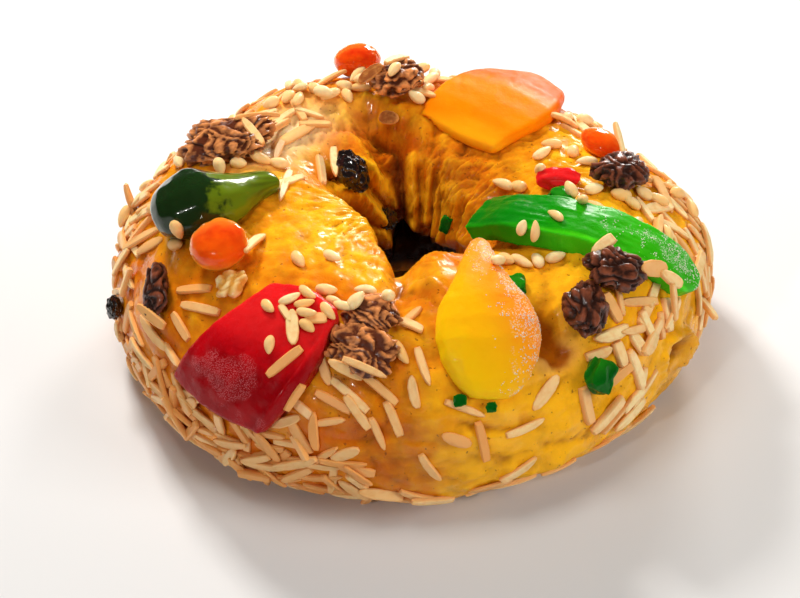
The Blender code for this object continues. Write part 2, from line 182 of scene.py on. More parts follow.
# Streaks of thin wrinkles: middle place, spread of the patch (degrees), wave along the bearing and along the
# roll, and rise (mm).
WRINKLES = (
    ((212, 130), (34, 11), (30.0, 10.0), 1.6),
    ((246, 116), (20, 15), (28.0, 6.5), 1.2),
    ((108, 106), (20, 24), (3.5, 6.0), 1.4),
    ((190, 96), (26, 20), (24.0, 5.0), 0.5),
    ((64, 138), (46, 34), (10.0, 8.0), 0.9),
    ((66, 122), (44, 18), (8.0, 5.0), 0.6),
    ((44, 144), (34, 26), (13.0, 6.0), 1.0),
    ((20, 140), (30, 26), (12.0, 7.0), 0.8),
    ((118, 146), (24, 30), (3.4, 12.0), 1.2),
    ((334, 62), (26, 34), (8.0, 5.0), 0.8),
    ((20, 80), (46, 36), (7.0, 5.0), 0.9),
    ((134, 92), (26, 26), (9.0, 4.0), 0.6),
    ((345, 10), (30, 40), (6.0, 7.0), 1.0),
    ((298, -6), (34, 26), (6.5, 6.0), 0.8),
    ((120, 20), (60, 50), (9.0, 8.0), 0.9),
)

# Torn places: bearing and roll, spread (degrees), depth (mm).
TEARS = (
    ((291, -27), (8, 8), 8.0),
    ((303, -25), (9, 9), 10.0),
    ((314, -28), (8, 9), 4.0),
    ((335, 4), (3.5, 9), 8.0),
    ((302, 34), (4, 5), 1.6),
    ((262, -30), (9, 6), 2.5),
    ((228, -30), (8, 6), 2.5),
)

# Where the crust is yellower than elsewhere, partly painted light where light falls: place, spread (degrees)
# and share.
YELLOW_AND_LIT_PATCHES = (
    ((310, 6), (30, 60), 0.9),
    ((328, 62), (34, 50), 1.0),
    ((318, 34), (14, 16), 0.8),
    ((288, 20), (14, 40), 0.5),
    ((214, 118), (50, 32), 0.6),
    ((140, 86), (24, 24), 0.6),
    ((30, 84), (34, 30), 0.5),
    ((122, 150), (16, 18), 0.8),
    ((66, 152), (34, 12), 0.9),
    ((345, 10), (24, 40), 0.9),
)

# Where the crust is pale: a painted highlight on the dome, and a pale crumbly spot beside the hollow right of
# the pear.
PALE_AND_HIGHLIGHT_PATCHES = (
    ((142, 92), (19, 14), 1.0),
    ((304, 46), (5, 7), 0.35),
)

# Painted shade on the crust: in the hole's depth and on its walls, in the crevice, in the pocket and under the
# foot.
PAINTED_SHADE_PATCHES = (
    ((84, 186), (70, 14), 0.8),
    ((270, 182), (90, 20), 0.9),
    ((96, 146), (4, 34), 0.8),
    ((103, 162), (6, 7), 0.9),
    ((60, 136), (26, 20), 0.32),
    ((300, -28), (14, 6), 0.5),
    ((335, 5), (3.2, 8), 1.0),
    ((140, 160), (22, 14), 0.35),
    ((276, 98), (4, 9), 0.35),
)

# Painted shade that turns the crust amber where it lies in a hollow, and on the front and the left flank.
AMBER_SHADE_PATCHES = (
    ((303, 60), (4.5, 14), 0.95),
    ((306, 44), (4, 5), 0.6),
    ((296, -18), (10, 6), 0.8),
    ((268, 22), (18, 40), 0.3),
    ((205, 48), (14, 22), 0.35),
)

# Where the skin is stretched into streaks: the left lobe's hole side, and all round the hole.
STRETCHED_PATCHES = (
    ((214, 124), (44, 20), 1.0),
    ((70, 140), (60, 26), 0.65),
    ((128, 150), (26, 24), 0.9),
    ((330, 124), (60, 18), 0.6),
)

# Melon strip: places along its middle, the part of them that is read, how finely, and the steps added past
# each end in the trend of the steps before; then half widths, depths and how far its edges droop (mm).
STRIP_SPINE = ((340, 135), (334, 114), (336, 87), (339, 60), (344, 30))
STRIP_SHARES = (0.10, 0.94)
STRIP_STEPS = 72
STRIP_ENDS = 5
STRIP_TREND = 6
STRIP_WIDTHS = (9.2, 10.4, 11.2, 11.0, 10.4, 9.0)
STRIP_DEPTHS = (6.5, 8.0, 9.0, 9.0, 9.0, 8.5)
STRIP_DROOP = 1.1

# Colours of looks that no setting changes.
WELL_TOASTED = (0.26, 0.06, 0.012)
PEAR_TIP = (0.42, 0.08, 0.01)
FIG_STRIPE = (0.07, 0.10, 0.004)
RED_LIT = (0.80, 0.02, 0.02)
RED_FROST = (0.80, 0.22, 0.24)
ORANGE_LIT = (1.0, 0.38, 0.006)
PEAR_LIT = (1.0, 0.56, 0.003)
CHERRY_DEEP = (0.62, 0.012, 0.002)
CHERRY_LIT = (1.0, 0.34, 0.03)
GREEN_BIT_DEEP = (0.002, 0.09, 0.006)
RED_BIT_DEEP = (0.62, 0.01, 0.01)
RED_BIT_LIT = (0.85, 0.05, 0.04)
# The second colour of each walnut pair is for the furrows, partly painted shade.
WALNUT_BROWN = ((0.25, 0.065, 0.028), (0.030, 0.009, 0.005))
WALNUT_CREAM = ((0.95, 0.70, 0.30), (0.72, 0.32, 0.05))

# Walnuts with dark skins, and walnuts drawn a little wider than their CAD nodes.
BROWN_WALNUTS = ("walnut_right_upper", "walnut_right_lower", "walnut_right_back", "walnut_left")
SPREAD_WALNUTS = ("walnut_right_upper", "walnut_right_lower")

# Which of the mix node's sockets serve colours.
MIX_SHARE, MIX_ONE, MIX_OTHER, MIX_RESULT = 0, 6, 7, 2

# How the skin's pattern is squeezed so that its streaks run lengthwise, or hang down.
LENGTHWISE = (0.2, 0.2, 1.0)
HANGING = (1.0, 1.0, 0.2)

# Slivers laid one by one: bearing, roll, turn, length (mm).
LAID_SLIVERS = (
    # dome and left lobe
    (138, 96, -3, 25), (141, 88, 11, 18), (129, 84, 78, 13), (135, 83, -2, 14), (128, 96, -34, 13),
    (142, 123, 44, 15), (145, 121, 40, 16), (175, 111, -4, 22), (173, 111, -45, 18), (214, 86, -51, 22),
    (150, 98, 20, 18), (147, 84, -20, 19), (155, 88, 60, 15),
    # left flank
    (213, 54, 38, 16), (218, 50, 23, 18), (190, 24, 9, 18), (202, 16, -4, 22), (210, 26, -2, 22),
    (210, 34, 1, 15), (216, 38, -15, 14), (218, 26, -2, 15), (215, 13, -28, 14), (178, 26, 70, 18),
    (170, 34, 60, 19), (186, 8, 40, 18),
    # foot of the left front
    (227, 6, -25, 20), (221, -1, -22, 18), (224, 13, 26, 19), (233, 10, 86, 14), (238, 9, -88, 17),
    (234, 2, 5, 12), (235, -7, 10, 17), (243, 13, 10, 13), (243, 6, 5, 12), (244, -5, 16, 14),
    (245, -15, 17, 16), (254, -18, -1, 20), (229, -9, 0, 18), (262, -21, 4, 18),
    # fan between the red slab and the front
    (252, 49, -61, 12), (257, 50, -21, 14), (261, 51, -17, 17), (264, 44, -36, 16), (258, 40, -33, 18),
    (255, 36, -18, 15), (248, 35, 60, 12), (249, 30, -27, 10), (255, 27, 19, 11), (252, 21, -82, 15),
    (249, 17, -55, 16), (254, 9, 46, 15), (264, 24, -67, 14), (267, 31, -67, 14), (246, 22, 30, 13),
    (260, 33, -50, 15), (258, 12, 30, 12), (250, 4, 20, 15), (260, 2, -10, 14),
    # front, nearly bare
    (273, 54, -75, 15), (271, 43, -80, 12), (271, 80, 43, 10), (270, 73, -15, 10), (281, 34, -27, 16),
    (279, 20, -28, 12), (284, 17, -81, 17), (293, 18, 8, 16), (274, 5, -60, 15), (291, -3, 34, 16),
    (300, -12, 0, 15), (299, 31, 30, 17), (272, -17, -27, 16), (286, -14, 15, 17), (309, -14, 20, 15),
    # back
    (32, 71, 28, 19), (38, 75, 56, 13), (20, 66, 10, 16), (87, 93, -26, 17), (112, 71, 5, 14),
    (94, 84, 40, 14), (102, 78, -30, 15),
)

# Thick chunks and slivers laid one by one under the walnuts on the right.
LAID_CHUNKS = (
    (307, 17, 89, 15), (311, 8, 23, 18), (313, 38, -7, 11), (317, 33, 89, 10), (320, 21, -78, 19),
    (317, 43, -10, 15), (320, 52, 86, 12), (322, 32, -72, 12), (326, 28, 37, 12), (333, 31, 61, 13),
    (334, 52, -45, 15), (336, 43, -62, 12), (330, 72, -17, 10), (316, 24, 10, 12), (328, 40, 15, 13),
)

# Toasted almonds over the crevice: bearing, roll, turn, length (mm).
TOASTED_ALMONDS = ((103, 89, 20, 12), (98, 105, -35, 10))

# Slivers on the red slab, and pine nuts on the red slab and on the melon strip.
SLIVERS_ON_RED = ((244, 60, -63, 14), (245, 47, 56, 16), (241, 64, -34, 9), (248, 66, 20, 8))
PINE_NUTS_ON_FRUIT = (
    (236, 64, -22), (244, 70, 35), (246, 66, 2), (250, 70, -35), (247, 62, -22), (241, 51, -74), (249, 80, -9),
    (240, 70, 50), (243, 75, -20), (253, 74, 10), (323, 103, -13), (324, 98, 28), (332, 94, 67),
)

# Pine nuts laid one by one: bearing, roll, turn.
LAID_PINE_NUTS = (
    # left lobe and left flank
    (166, 87, 90), (162, 95, 88), (160, 104, -70), (168, 78, 30), (229, 94, -22), (238, 104, -11),
    (197, 58, 45), (199, 64, -33), (245, 84, 20), (256, 78, 60),
    # hole rim and right lobe
    (264, 82, 70), (262, 88, 10), (268, 60, -60), (311, 104, -75), (314, 98, -84), (319, 93, 58),
    (323, 87, -36), (300, 92, 20), (12, 118, 32), (20, 124, 30), (353, 95, 48), (359, 84, -63), (26, 99, -81),
    (2, 60, 67), (1, 53, 65), (357, 66, 56), (6, 43, -76), (4, 36, 23), (10, 106, 10), (344, 88, 20),
    # back
    (122, 69, 81), (120, 77, -87), (111, 80, -34), (106, 83, -14), (105, 74, 27), (89, 98, -9), (96, 92, 50),
    (128, 74, 20), (117, 84, 10), (84, 90, 70), (133, 72, -30),
)

# Zones where slivers are strewn: bearings, rolls, how many, mean turn and its spread.
SLIVER_ZONES = (
    ((184, 262), (-24, 12), 78, 10, 75),
    ((150, 192), (-18, 44), 60, 60, 50),
    ((108, 152), (-14, 56), 56, 40, 80),
    ((62, 112), (-12, 78), 64, 30, 80),
    ((10, 62), (-14, 66), 78, 20, 80),
    ((345, 372), (-6, 50), 44, 55, 50),
    ((312, 326), (-24, 10), 8, 40, 50),
    ((262, 300), (-26, -14), 8, 0, 20),
    ((118, 160), (64, 90), 8, 60, 70),
    ((342, 362), (46, 76), 9, 20, 80),
    ((322, 345), (24, 60), 16, 40, 80),
)

# Zones where pine nuts are strewn, at any turn.
PINE_NUT_ZONES = (
    ((80, 128), (58, 92), 16, 0, 180),
    ((14, 60), (56, 92), 18, 0, 180),
    ((344, 386), (46, 76), 10, 0, 180),
    ((130, 180), (20, 60), 8, 0, 180),
    ((246, 262), (60, 90), 5, 0, 180),
    ((330, 350), (56, 84), 5, 0, 180),
)

# Strewing: tries to find a free spot, how many earlier spots are kept clear, how many nuts fall before they
# count as ground, the distance from the core at which spots are compared, and the lowest that a nut may lie.
STREW_TRIES = 12
STREW_MEMORY = 160
STREW_ROUND = 12
STREW_REACH = 0.045
LOWEST_NUT = 1.2 * MM

# Where a nut's tips are felt for, as a share of its length from its middle, and from which height.
TIP_SHARE = 0.42
TIP_CLEARANCE = 5.0 * MM

# Cuts of the slivers: length and width as shares, thickness (mm), how blunt the head and the tail are, bow
# (mm); then the levels of their steps as shares of the thickness, and how far the outer faces draw in (mm).
SLIVER_CUTS = (
    (1.00, 1.00, 2.0, 0.25, 0.45, 0.4),
    (1.10, 0.90, 1.8, 1.20, 0.30, 0.9),
    (0.92, 1.35, 1.3, 0.90, 1.10, 0.5),
    (0.70, 0.95, 2.4, 0.20, 0.25, 0.1),
    (1.15, 1.05, 1.7, 0.60, 1.20, 1.0),
    (0.85, 0.80, 2.2, 1.10, 0.30, 0.3),
    (0.98, 1.15, 1.6, 0.30, 1.00, 0.6),
)
SLIVER_LEVELS = (0.0, 0.28, 0.72, 1.0)
SLIVER_BEVEL = 0.45

# Shapes of the pine nuts: length and width as shares, and how far their ends lean (mm).
PINE_NUT_SHAPES = ((1.0, 1.0, 0.3), (0.9, 1.08, -0.2), (1.08, 0.92, 0.5))

# Lamps: name, place, side, power, colour, and whether glossy pieces mirror them.
WARM_WHITE = (1.0, 0.97, 0.93)
LAMPS = (
    ("key", (-0.36, 0.60, 0.70), 0.20, 9.0, WARM_WHITE, False),
    ("window", (0.28, 0.88, 0.34), 0.25, 5.0, WARM_WHITE, True),
    ("top", (-0.15, -0.10, 1.00), 0.45, 3.4, WARM_WHITE, False),
    ("fill", (1.00, -0.50, 0.66), 0.60, 8.0, WARM_WHITE, False),
    ("spark", (-0.42, -0.80, 0.55), 0.045, 1.8, (1.0, 0.98, 0.95), True),
)
LAMP_AIM = (0.0, 0.0, 0.03)
WORLD_LIGHT = 0.04

# Camera: focal length and sensor (mm), shift, and the distances between which it sees.
CAMERA_LENS = 102.06
CAMERA_SENSOR = 36.0
CAMERA_SHIFT = (-0.01125, 0.05)
CAMERA_CLIP = (0.05, 20.0)


def clear_selection():
    """Leaves edit mode and selects nothing."""
    if bpy.context.mode != "OBJECT":
        bpy.ops.object.mode_set(mode="OBJECT")
    bpy.ops.object.select_all(action="DESELECT")


def take(piece):
    """Makes a piece the only selected one, and the active one."""
    clear_selection()
    piece.select_set(True)
    bpy.context.view_layer.objects.active = piece


def start_from(primitive, name, **settings):
    """Adds a primitive as the only selected piece, and names it."""
    clear_selection()
    primitive(**settings)
    piece = bpy.context.object
    piece.name = piece.data.name = name
    return piece


def edit_all(piece, operator, repeats=1, **settings):
    """Selects the whole of a piece in edit mode and runs an operator there."""
    take(piece)
    bpy.ops.object.mode_set(mode="EDIT")
    bpy.ops.mesh.select_all(action="SELECT")
    for _ in range(repeats):
        operator(**settings)
    bpy.ops.object.mode_set(mode="OBJECT")


def apply_modifier(piece, kind, **settings):
    """Adds a modifier with its settings and applies it."""
    take(piece)
    modifier = piece.modifiers.new(kind.lower(), kind)
    for name, value in settings.items():
        setattr(modifier, name, value)
    bpy.ops.object.modifier_apply(modifier=modifier.name)


def settle_place(piece):
    """Puts a piece's place, turn and size into its mesh."""
    take(piece)
    bpy.ops.object.transform_apply(location=True, rotation=True, scale=True)


def smooth_shading(piece, angle):
    """Shades a piece smooth, with edges sharper than an angle kept sharp."""
    take(piece)
    bpy.ops.object.shade_smooth_by_angle(angle=math.radians(angle))


def points_of(piece):
    """A mesh's points as an array."""
    points = np.empty(len(piece.data.vertices) * 3)
    piece.data.vertices.foreach_get("co", points)
    return points.reshape(-1, 3)


def set_points(piece, points):
    """Moves a mesh's points to those of an array."""
    piece.data.vertices.foreach_set("co", np.asarray(points, float).ravel())
    piece.data.update()


def set_attribute(piece, name, values):
    """Keeps a number or a vector for each point of a mesh under a name that materials can read."""
    values = np.asarray(values, np.float32)
    kind, key = ("FLOAT_VECTOR", "vector") if values.ndim == 2 else ("FLOAT", "value")
    layer = piece.data.attributes.new(name, kind, "POINT")
    layer.data.foreach_set(key, values.ravel())


def paint(piece, frost=0.0, tint=0.0, lit=0.0):
    """Keeps how frosted, how much of its second colour and how lit through each point of a fruit is, the last
    as painted light.
    """
    for name, values in (("frost", frost), ("tint", tint), ("lit", lit)):
        set_attribute(piece, name, np.broadcast_to(values, len(piece.data.vertices)))


def hand_over(piece, nodes, material):
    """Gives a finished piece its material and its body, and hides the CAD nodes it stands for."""
    piece.data.materials.clear()
    piece.data.materials.append(material)
    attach(piece, ROOT)
    if nodes:
        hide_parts(*nodes)


def tree_of(pieces):
    """One search tree over the meshes of several pieces."""
    points, faces = [], []
    for piece in pieces:
        first = len(points)
        points += [v.co.copy() for v in piece.data.vertices]
        faces += [[first + i for i in p.vertices] for p in piece.data.polygons]
    return BVHTree.FromPolygons(points, faces)


def core_and_way(bearing, roll):
    """The core's point at a bearing, and the direction in which a roll points from it."""
    b, r = math.radians(bearing), math.radians(roll)
    core = Vector((CORE_RADIUS * math.cos(b), CORE_RADIUS * math.sin(b), CORE_HEIGHT))
    return core, Vector((math.cos(b) * math.cos(r), math.sin(b) * math.cos(r), math.sin(r)))


def angle_gap(a, b):
    """Signed difference between two angles in degrees, between -180 and 180."""
    return (a - b + 180.0) % 360.0 - 180.0


def patch(bearing, roll, place, spread):
    """A soft patch, 1 at its middle place and 0 well outside its spread."""
    far = (angle_gap(bearing, place[0]) / spread[0]) ** 2 + (angle_gap(roll, place[1]) / spread[1]) ** 2
    return np.exp(-far)


def patches(bearing, roll, table):
    """The sum of a table of patches, between 0 and 1."""
    return np.clip(sum(patch(bearing, roll, place, spread) * much for place, spread, much in table), 0.0, 1.0)


def skin_at(tree, bearing, roll):
    """The core's point and the direction at a place, and where the tree's skin lies along it, or None."""
    core, way = core_and_way(bearing, roll)
    return core, way, tree.ray_cast(core + way * REACH, -way, REACH)[0]


# ---- Shader parts


def feed(tree, socket, value):
    """Gives an input another node's output or a plain value."""
    if isinstance(value, bpy.types.NodeSocket):
        tree.links.new(value, socket)
    else:
        socket.default_value = value


def add_node(tree, kind, settings=None, inputs=None):
    """Adds a shader node; an input is a value or another node's output."""
    node = tree.nodes.new(kind)
    for name, value in (settings or {}).items():
        setattr(node, name, value)
    for name, value in (inputs or {}).items():
        feed(tree, node.inputs[name], value)
    return node


def new_group(name, inputs, outputs):
    """An empty shader group that takes a vector and numbers and gives numbers, and the sockets inside it."""
    group = bpy.data.node_groups.new(name, "ShaderNodeTree")
    group.interface.new_socket("Vector", in_out="INPUT", socket_type="NodeSocketVector")
    for socket, value in inputs.items():
        group.interface.new_socket(socket, in_out="INPUT", socket_type="NodeSocketFloat").default_value = value
    for socket in outputs:
        group.interface.new_socket(socket, in_out="OUTPUT", socket_type="NodeSocketFloat")
    return group, group.nodes.new("NodeGroupInput").outputs, group.nodes.new("NodeGroupOutput").inputs


def math_node(tree, operation, a, b, clamp=False):
    """One step of arithmetic; returns its output."""
    settings = {"operation": operation, "use_clamp": clamp}
    return add_node(tree, "ShaderNodeMath", settings, {0: a, 1: b}).outputs[0]


def times(tree, a, b, clamp=False):
    """The product of two numbers."""
    return math_node(tree, "MULTIPLY", a, b, clamp)


def plus(tree, a, b, clamp=False):
    """The sum of two numbers."""
    return math_node(tree, "ADD", a, b, clamp)


def ramp(tree, value, low, high, to_low=0.0, to_high=1.0):
    """Maps a value from low..high to to_low..to_high, softly and clamped; returns its output."""
    settings = {"interpolation_type": "SMOOTHSTEP", "clamp": True}
    inputs = {"Value": value, "From Min": low, "From Max": high, "To Min": to_low, "To Max": to_high}
    return add_node(tree, "ShaderNodeMapRange", settings, inputs).outputs["Result"]


def rgba(colour):
    """A colour with full cover."""
    return (*tuple(colour)[:3], 1.0)


def blend_colour(tree, share, one, other):
    """Mixes two colours, each plain or another node's output, by a share; returns the result."""
    one, other = (c if isinstance(c, bpy.types.NodeSocket) else rgba(c) for c in (one, other))
    inputs = {MIX_SHARE: share, MIX_ONE: one, MIX_OTHER: other}
    return add_node(tree, "ShaderNodeMix", {"data_type": "RGBA"}, inputs).outputs[MIX_RESULT]


def noise_node(tree, vector, scale, detail, **more):
    """Soft noise between 0 and 1; returns its output."""
    inputs = {"Vector": vector, "Scale": scale, "Detail": detail, **more}
    return add_node(tree, "ShaderNodeTexNoise", inputs=inputs).outputs["Fac"]


def build_mottle():
    """Shader group: soft clouds as a mask, from a noise cut between two levels."""
    settings = {"Scale": 100.0, "Detail": 3.0, "From": 0.35, "To": 0.65}
    group, start, end = new_group("Mottle", settings, ("Mask",))
    clouds = noise_node(group, start["Vector"], start["Scale"], start["Detail"])
    group.links.new(ramp(group, clouds, start["From"], start["To"]), end["Mask"])


def build_frost():
    """Shader group: grains of sugar, gathered in patches, as a mask and a height."""
    settings = {"Grains": 1400.0, "Patches": 130.0, "Cover": 0.3, "Where": 1.0}
    group, start, end = new_group("Sugar frost", settings, ("Mask", "Height"))
    inputs = {"Vector": start["Vector"], "Scale": start["Grains"], "Randomness": 1.0}
    grains = add_node(group, "ShaderNodeTexVoronoi", {"feature": "F1"}, inputs)
    clouds = noise_node(group, start["Vector"], start["Patches"], 4.0)
    wanted = times(group, start["Cover"], start["Where"])
    level = math_node(group, "SUBTRACT", 0.82, times(group, wanted, 0.5))
    cover = ramp(group, clouds, math_node(group, "SUBTRACT", level, 0.10), level)
    dots = ramp(group, grains.outputs["Distance"], 0.55, 0.15)
    mask = times(group, dots, cover, clamp=True)
    gated = times(group, mask, ramp(group, start["Where"], 0.0, 0.3), clamp=True)
    for socket in end[:2]:
        group.links.new(gated, socket)


def build_grain():
    """Shader group: fine and coarse grain of a surface as one height."""
    settings = {"Coarse": 150.0, "Fine": 900.0, "Fine share": 0.3}
    group, start, end = new_group("Surface grain", settings, ("Height",))
    coarse = noise_node(group, start["Vector"], start["Coarse"], 3.0)
    fine = noise_node(group, start["Vector"], start["Fine"], 2.0)
    group.links.new(plus(group, coarse, times(group, fine, start["Fine share"])), end["Height"])


def build_streaks():
    """Shader group: streaks of stretched skin as a height, lengthwise or hanging down by a share."""
    group, start, end = new_group("Skin streaks", {"Hanging": 0.0, "Scale": 300.0}, ("Height",))
    streaks = []
    for stretch in (LENGTHWISE, HANGING):
        scaled = add_node(
            group, "ShaderNodeVectorMath", {"operation": "MULTIPLY"}, {0: start["Vector"], 1: stretch}
        )
        streaks.append(noise_node(group, scaled.outputs["Vector"], start["Scale"], 3.0, Distortion=0.6))
    lengthwise = times(group, streaks[0], math_node(group, "SUBTRACT", 1.0, start["Hanging"]))
    hanging = times(group, streaks[1], start["Hanging"])
    group.links.new(plus(group, lengthwise, hanging), end["Height"])


SHADER_GROUPS = (build_mottle, build_frost, build_grain, build_streaks)


def use_group(tree, group_name, **values):
    """Places a shader group in a material with its values."""
    node = tree.nodes.new("ShaderNodeGroup")
    node.node_tree = bpy.data.node_groups[group_name]
    for name, value in values.items():
        feed(tree, node.inputs[name.replace("_", " ")], value)
    return node


def mottle(tree, place, scale, detail, low, high):
    """Soft clouds over a surface, as a mask."""
    values = {"Vector": place, "Scale": scale, "Detail": detail, "From": low, "To": high}
    return use_group(tree, "Mottle", **values).outputs["Mask"]


def grain(tree, place, coarse, fine, share):
    """Coarse and fine grain of a surface, as a height."""
    values = {"Vector": place, "Coarse": coarse, "Fine": fine, "Fine share": share}
    return use_group(tree, "Surface grain", **values).outputs["Height"]


def new_material(name):
    """A new material with only its shader and its output, and the Object coordinates."""
    material = bpy.data.materials.new(name)
    material.use_nodes = True
    tree = material.node_tree
    shader = tree.nodes["Principled BSDF"]
    place = tree.nodes.new("ShaderNodeTexCoord").outputs["Object"]
    return material, tree, shader, place


def read_attribute(tree, name):
    """A number that the mesh keeps for each point; returns its output."""
    return add_node(tree, "ShaderNodeAttribute", {"attribute_name": name}).outputs["Fac"]


def set_bump(tree, shader, height, strength, distance):
    """Feeds a height to the shader's normal."""
    inputs = {"Height": height, "Strength": strength, "Distance": distance}
    bump = add_node(tree, "ShaderNodeBump", inputs=inputs)
    tree.links.new(bump.outputs["Normal"], shader.inputs["Normal"])


def set_shader(shader, **values):
    """Sets constants on the shader's own sockets."""
    for name, value in values.items():
        shader.inputs[name.replace("_", " ")].default_value = value


def make_crust_material(colours):
    """Egg-washed crust: golden, yellow on crests as painted light, amber in hollows and near black in the
    hole's depth as painted shade, with streaks, freckles and pores.
    """
    material, tree, shader, place = new_material("glazed_crust")
    skin = add_node(tree, "ShaderNodeAttribute", {"attribute_name": "skin"}).outputs["Vector"]
    hanging = read_attribute(tree, "hanging")
    streaks = use_group(tree, "Skin streaks", Vector=skin, Hanging=hanging, Scale=300.0).outputs["Height"]
    stretched = read_attribute(tree, "stretched")
    clouds = mottle(tree, place, 52.0, 4.0, 0.35, 0.7)
    # The yellow mark: the crust's own yellower places, with painted light on lit places and on the crests.
    yellow = times(tree, read_attribute(tree, "yellow"), 0.8)
    share = plus(tree, yellow, times(tree, clouds, 0.42))
    blotches = mottle(tree, place, 150.0, 4.0, 0.4, 0.75)
    share = plus(tree, share, times(tree, blotches, 0.34))
    # The skin streaks: partly the glaze's own streaky colour, partly painted light on their raised parts.
    streak_crest_light = times(tree, ramp(tree, streaks, 0.5, 0.75, 0.0, 0.35), stretched)
    share = plus(tree, share, streak_crest_light, clamp=True)
    base = blend_colour(tree, share, colours.crust_orange, colours.crust_yellow)
    # Painted highlight: the pale colour on the dome.
    base = blend_colour(tree, read_attribute(tree, "pale"), base, colours.crust_pale)
    # Painted shade: amber in the dough's hollows and folds.
    hollow_shade = ramp(tree, read_attribute(tree, "hollow_shade"), 0.0, 1.0)
    # Painted shade in the low parts of the skin streaks, partly the glaze's own streaky colour.
    streak_hollow_shade = times(tree, ramp(tree, streaks, 0.45, 0.25, 0.0, 0.35), stretched)
    hollow_shade = plus(tree, hollow_shade, streak_hollow_shade, clamp=True)
    base = blend_colour(tree, hollow_shade, base, colours.crust_fold_shade)
    # Toasted patches towards the foot, with the hollows' painted shade and the painted shade patches mixed in.
    toast_and_shade = mottle(tree, place, 120.0, 5.0, 0.45, 0.72)
    toast_and_shade = times(tree, toast_and_shade, read_attribute(tree, "toast_and_shade"), clamp=True)
    toast_and_shade = plus(tree, toast_and_shade, read_attribute(tree, "dark"), clamp=True)
    base = blend_colour(tree, toast_and_shade, base, colours.crust_brown)
    freckles = mottle(tree, place, 560.0, 2.0, 0.67, 0.74)
    base = blend_colour(tree, times(tree, freckles, 0.6), base, colours.crust_brown)
    # Painted shade: the crust turns near black in the hole's depth, under the drips.
    base = blend_colour(tree, read_attribute(tree, "deep"), base, colours.crust_hole_shade)
    tree.links.new(base, shader.inputs["Base Color"])
    dull = mottle(tree, place, 190.0, 4.0, 0.3, 0.75)
    tree.links.new(ramp(tree, dull, 0.0, 1.0, 0.26, 0.5), shader.inputs["Roughness"])
    # Less coat where painted shade lies in the hollows and in the hole's depth.
    painted_shade_mask = math_node(tree, "MAXIMUM", hollow_shade, read_attribute(tree, "deep"))
    coat = times(tree, ramp(tree, dull, 0.1, 1.0, 0.85, 0.3), ramp(tree, painted_shade_mask, 0.2, 1.0, 1.0, 0.1))
    pools = mottle(tree, place, 46.0, 2.0, 0.42, 0.58)
    coat = times(tree, coat, ramp(tree, pools, 0.0, 1.0, 0.25, 1.0))
    tree.links.new(coat, shader.inputs["Coat Weight"])
    set_shader(shader, Specular_IOR_Level=0.12, Coat_Roughness=0.08, Coat_IOR=1.33)
    set_shader(shader, Subsurface_Weight=0.15, Subsurface_Scale=0.003, Subsurface_Radius=(1.0, 0.35, 0.06))
    pores = grain(tree, place, 330.0, 1500.0, 0.35)
    raised = times(tree, streaks, plus(tree, times(tree, stretched, 0.8), 0.25))
    height = plus(tree, raised, times(tree, pores, 0.5))
    height = math_node(tree, "SUBTRACT", height, times(tree, freckles, 0.5))
    set_bump(tree, shader, height, 0.6, 0.0010)
    return material


def make_candied_material(
    name, colour, deep, bright, sugar_colour,
    frost=0.0, grains=1500.0, glow=0.6, dull=0.16, ribs=0.3, rim=0.0, shine=0.2, mottled=0.3
):
    """Candied fruit: clear and deep in colour, glossy, lit through at its thin parts as painted light, with a
    painted rim light and grains of sugar.
    """
    material, tree, shader, place = new_material(name)
    clouds = mottle(tree, place, 90.0, 4.0, 0.3, 0.75)
    tint = plus(tree, read_attribute(tree, "tint"), times(tree, clouds, mottled), clamp=True)
    base = blend_colour(tree, tint, colour, deep)
    # Painted rim light: lighter towards the outline as seen from the camera, by the rim setting, added to the
    # painted light of the lit mark.
    edge = add_node(tree, "ShaderNodeLayerWeight", inputs={"Blend": 0.35}).outputs["Facing"]
    lit = plus(tree, read_attribute(tree, "lit"), ramp(tree, edge, 0.1, 0.9, 0.0, rim), clamp=True)
    base = blend_colour(tree, lit, base, bright)
    where = read_attribute(tree, "frost")
    values = {"Vector": place, "Grains": grains, "Patches": 95.0, "Cover": frost, "Where": where}
    sugar = use_group(tree, "Sugar frost", **values)
    shown = times(tree, sugar.outputs["Mask"], 0.6)
    base = blend_colour(tree, shown, base, sugar_colour)
    tree.links.new(base, shader.inputs["Base Color"])
    worn = mottle(tree, place, 300.0, 3.0, 0.35, 0.75)
    rough = plus(tree, ramp(tree, worn, 0.0, 1.0, dull, dull + 0.14), times(tree, shown, 0.4))
    tree.links.new(rough, shader.inputs["Roughness"])
    set_shader(shader, Specular_IOR_Level=0.2, IOR=1.38)
    set_shader(shader, Coat_Weight=shine, Coat_Roughness=0.05, Coat_IOR=1.33)
    radius = tuple(0.08 + 0.92 * c / max(colour[:3]) for c in colour[:3])
    set_shader(shader, Subsurface_Weight=glow, Subsurface_Scale=0.004, Subsurface_Radius=radius)
    height = plus(tree, grain(tree, place, 260.0, 1300.0, 0.3), times(tree, sugar.outputs["Height"], 0.8))
    set_bump(tree, shader, height, ribs, 0.0006)
    return material


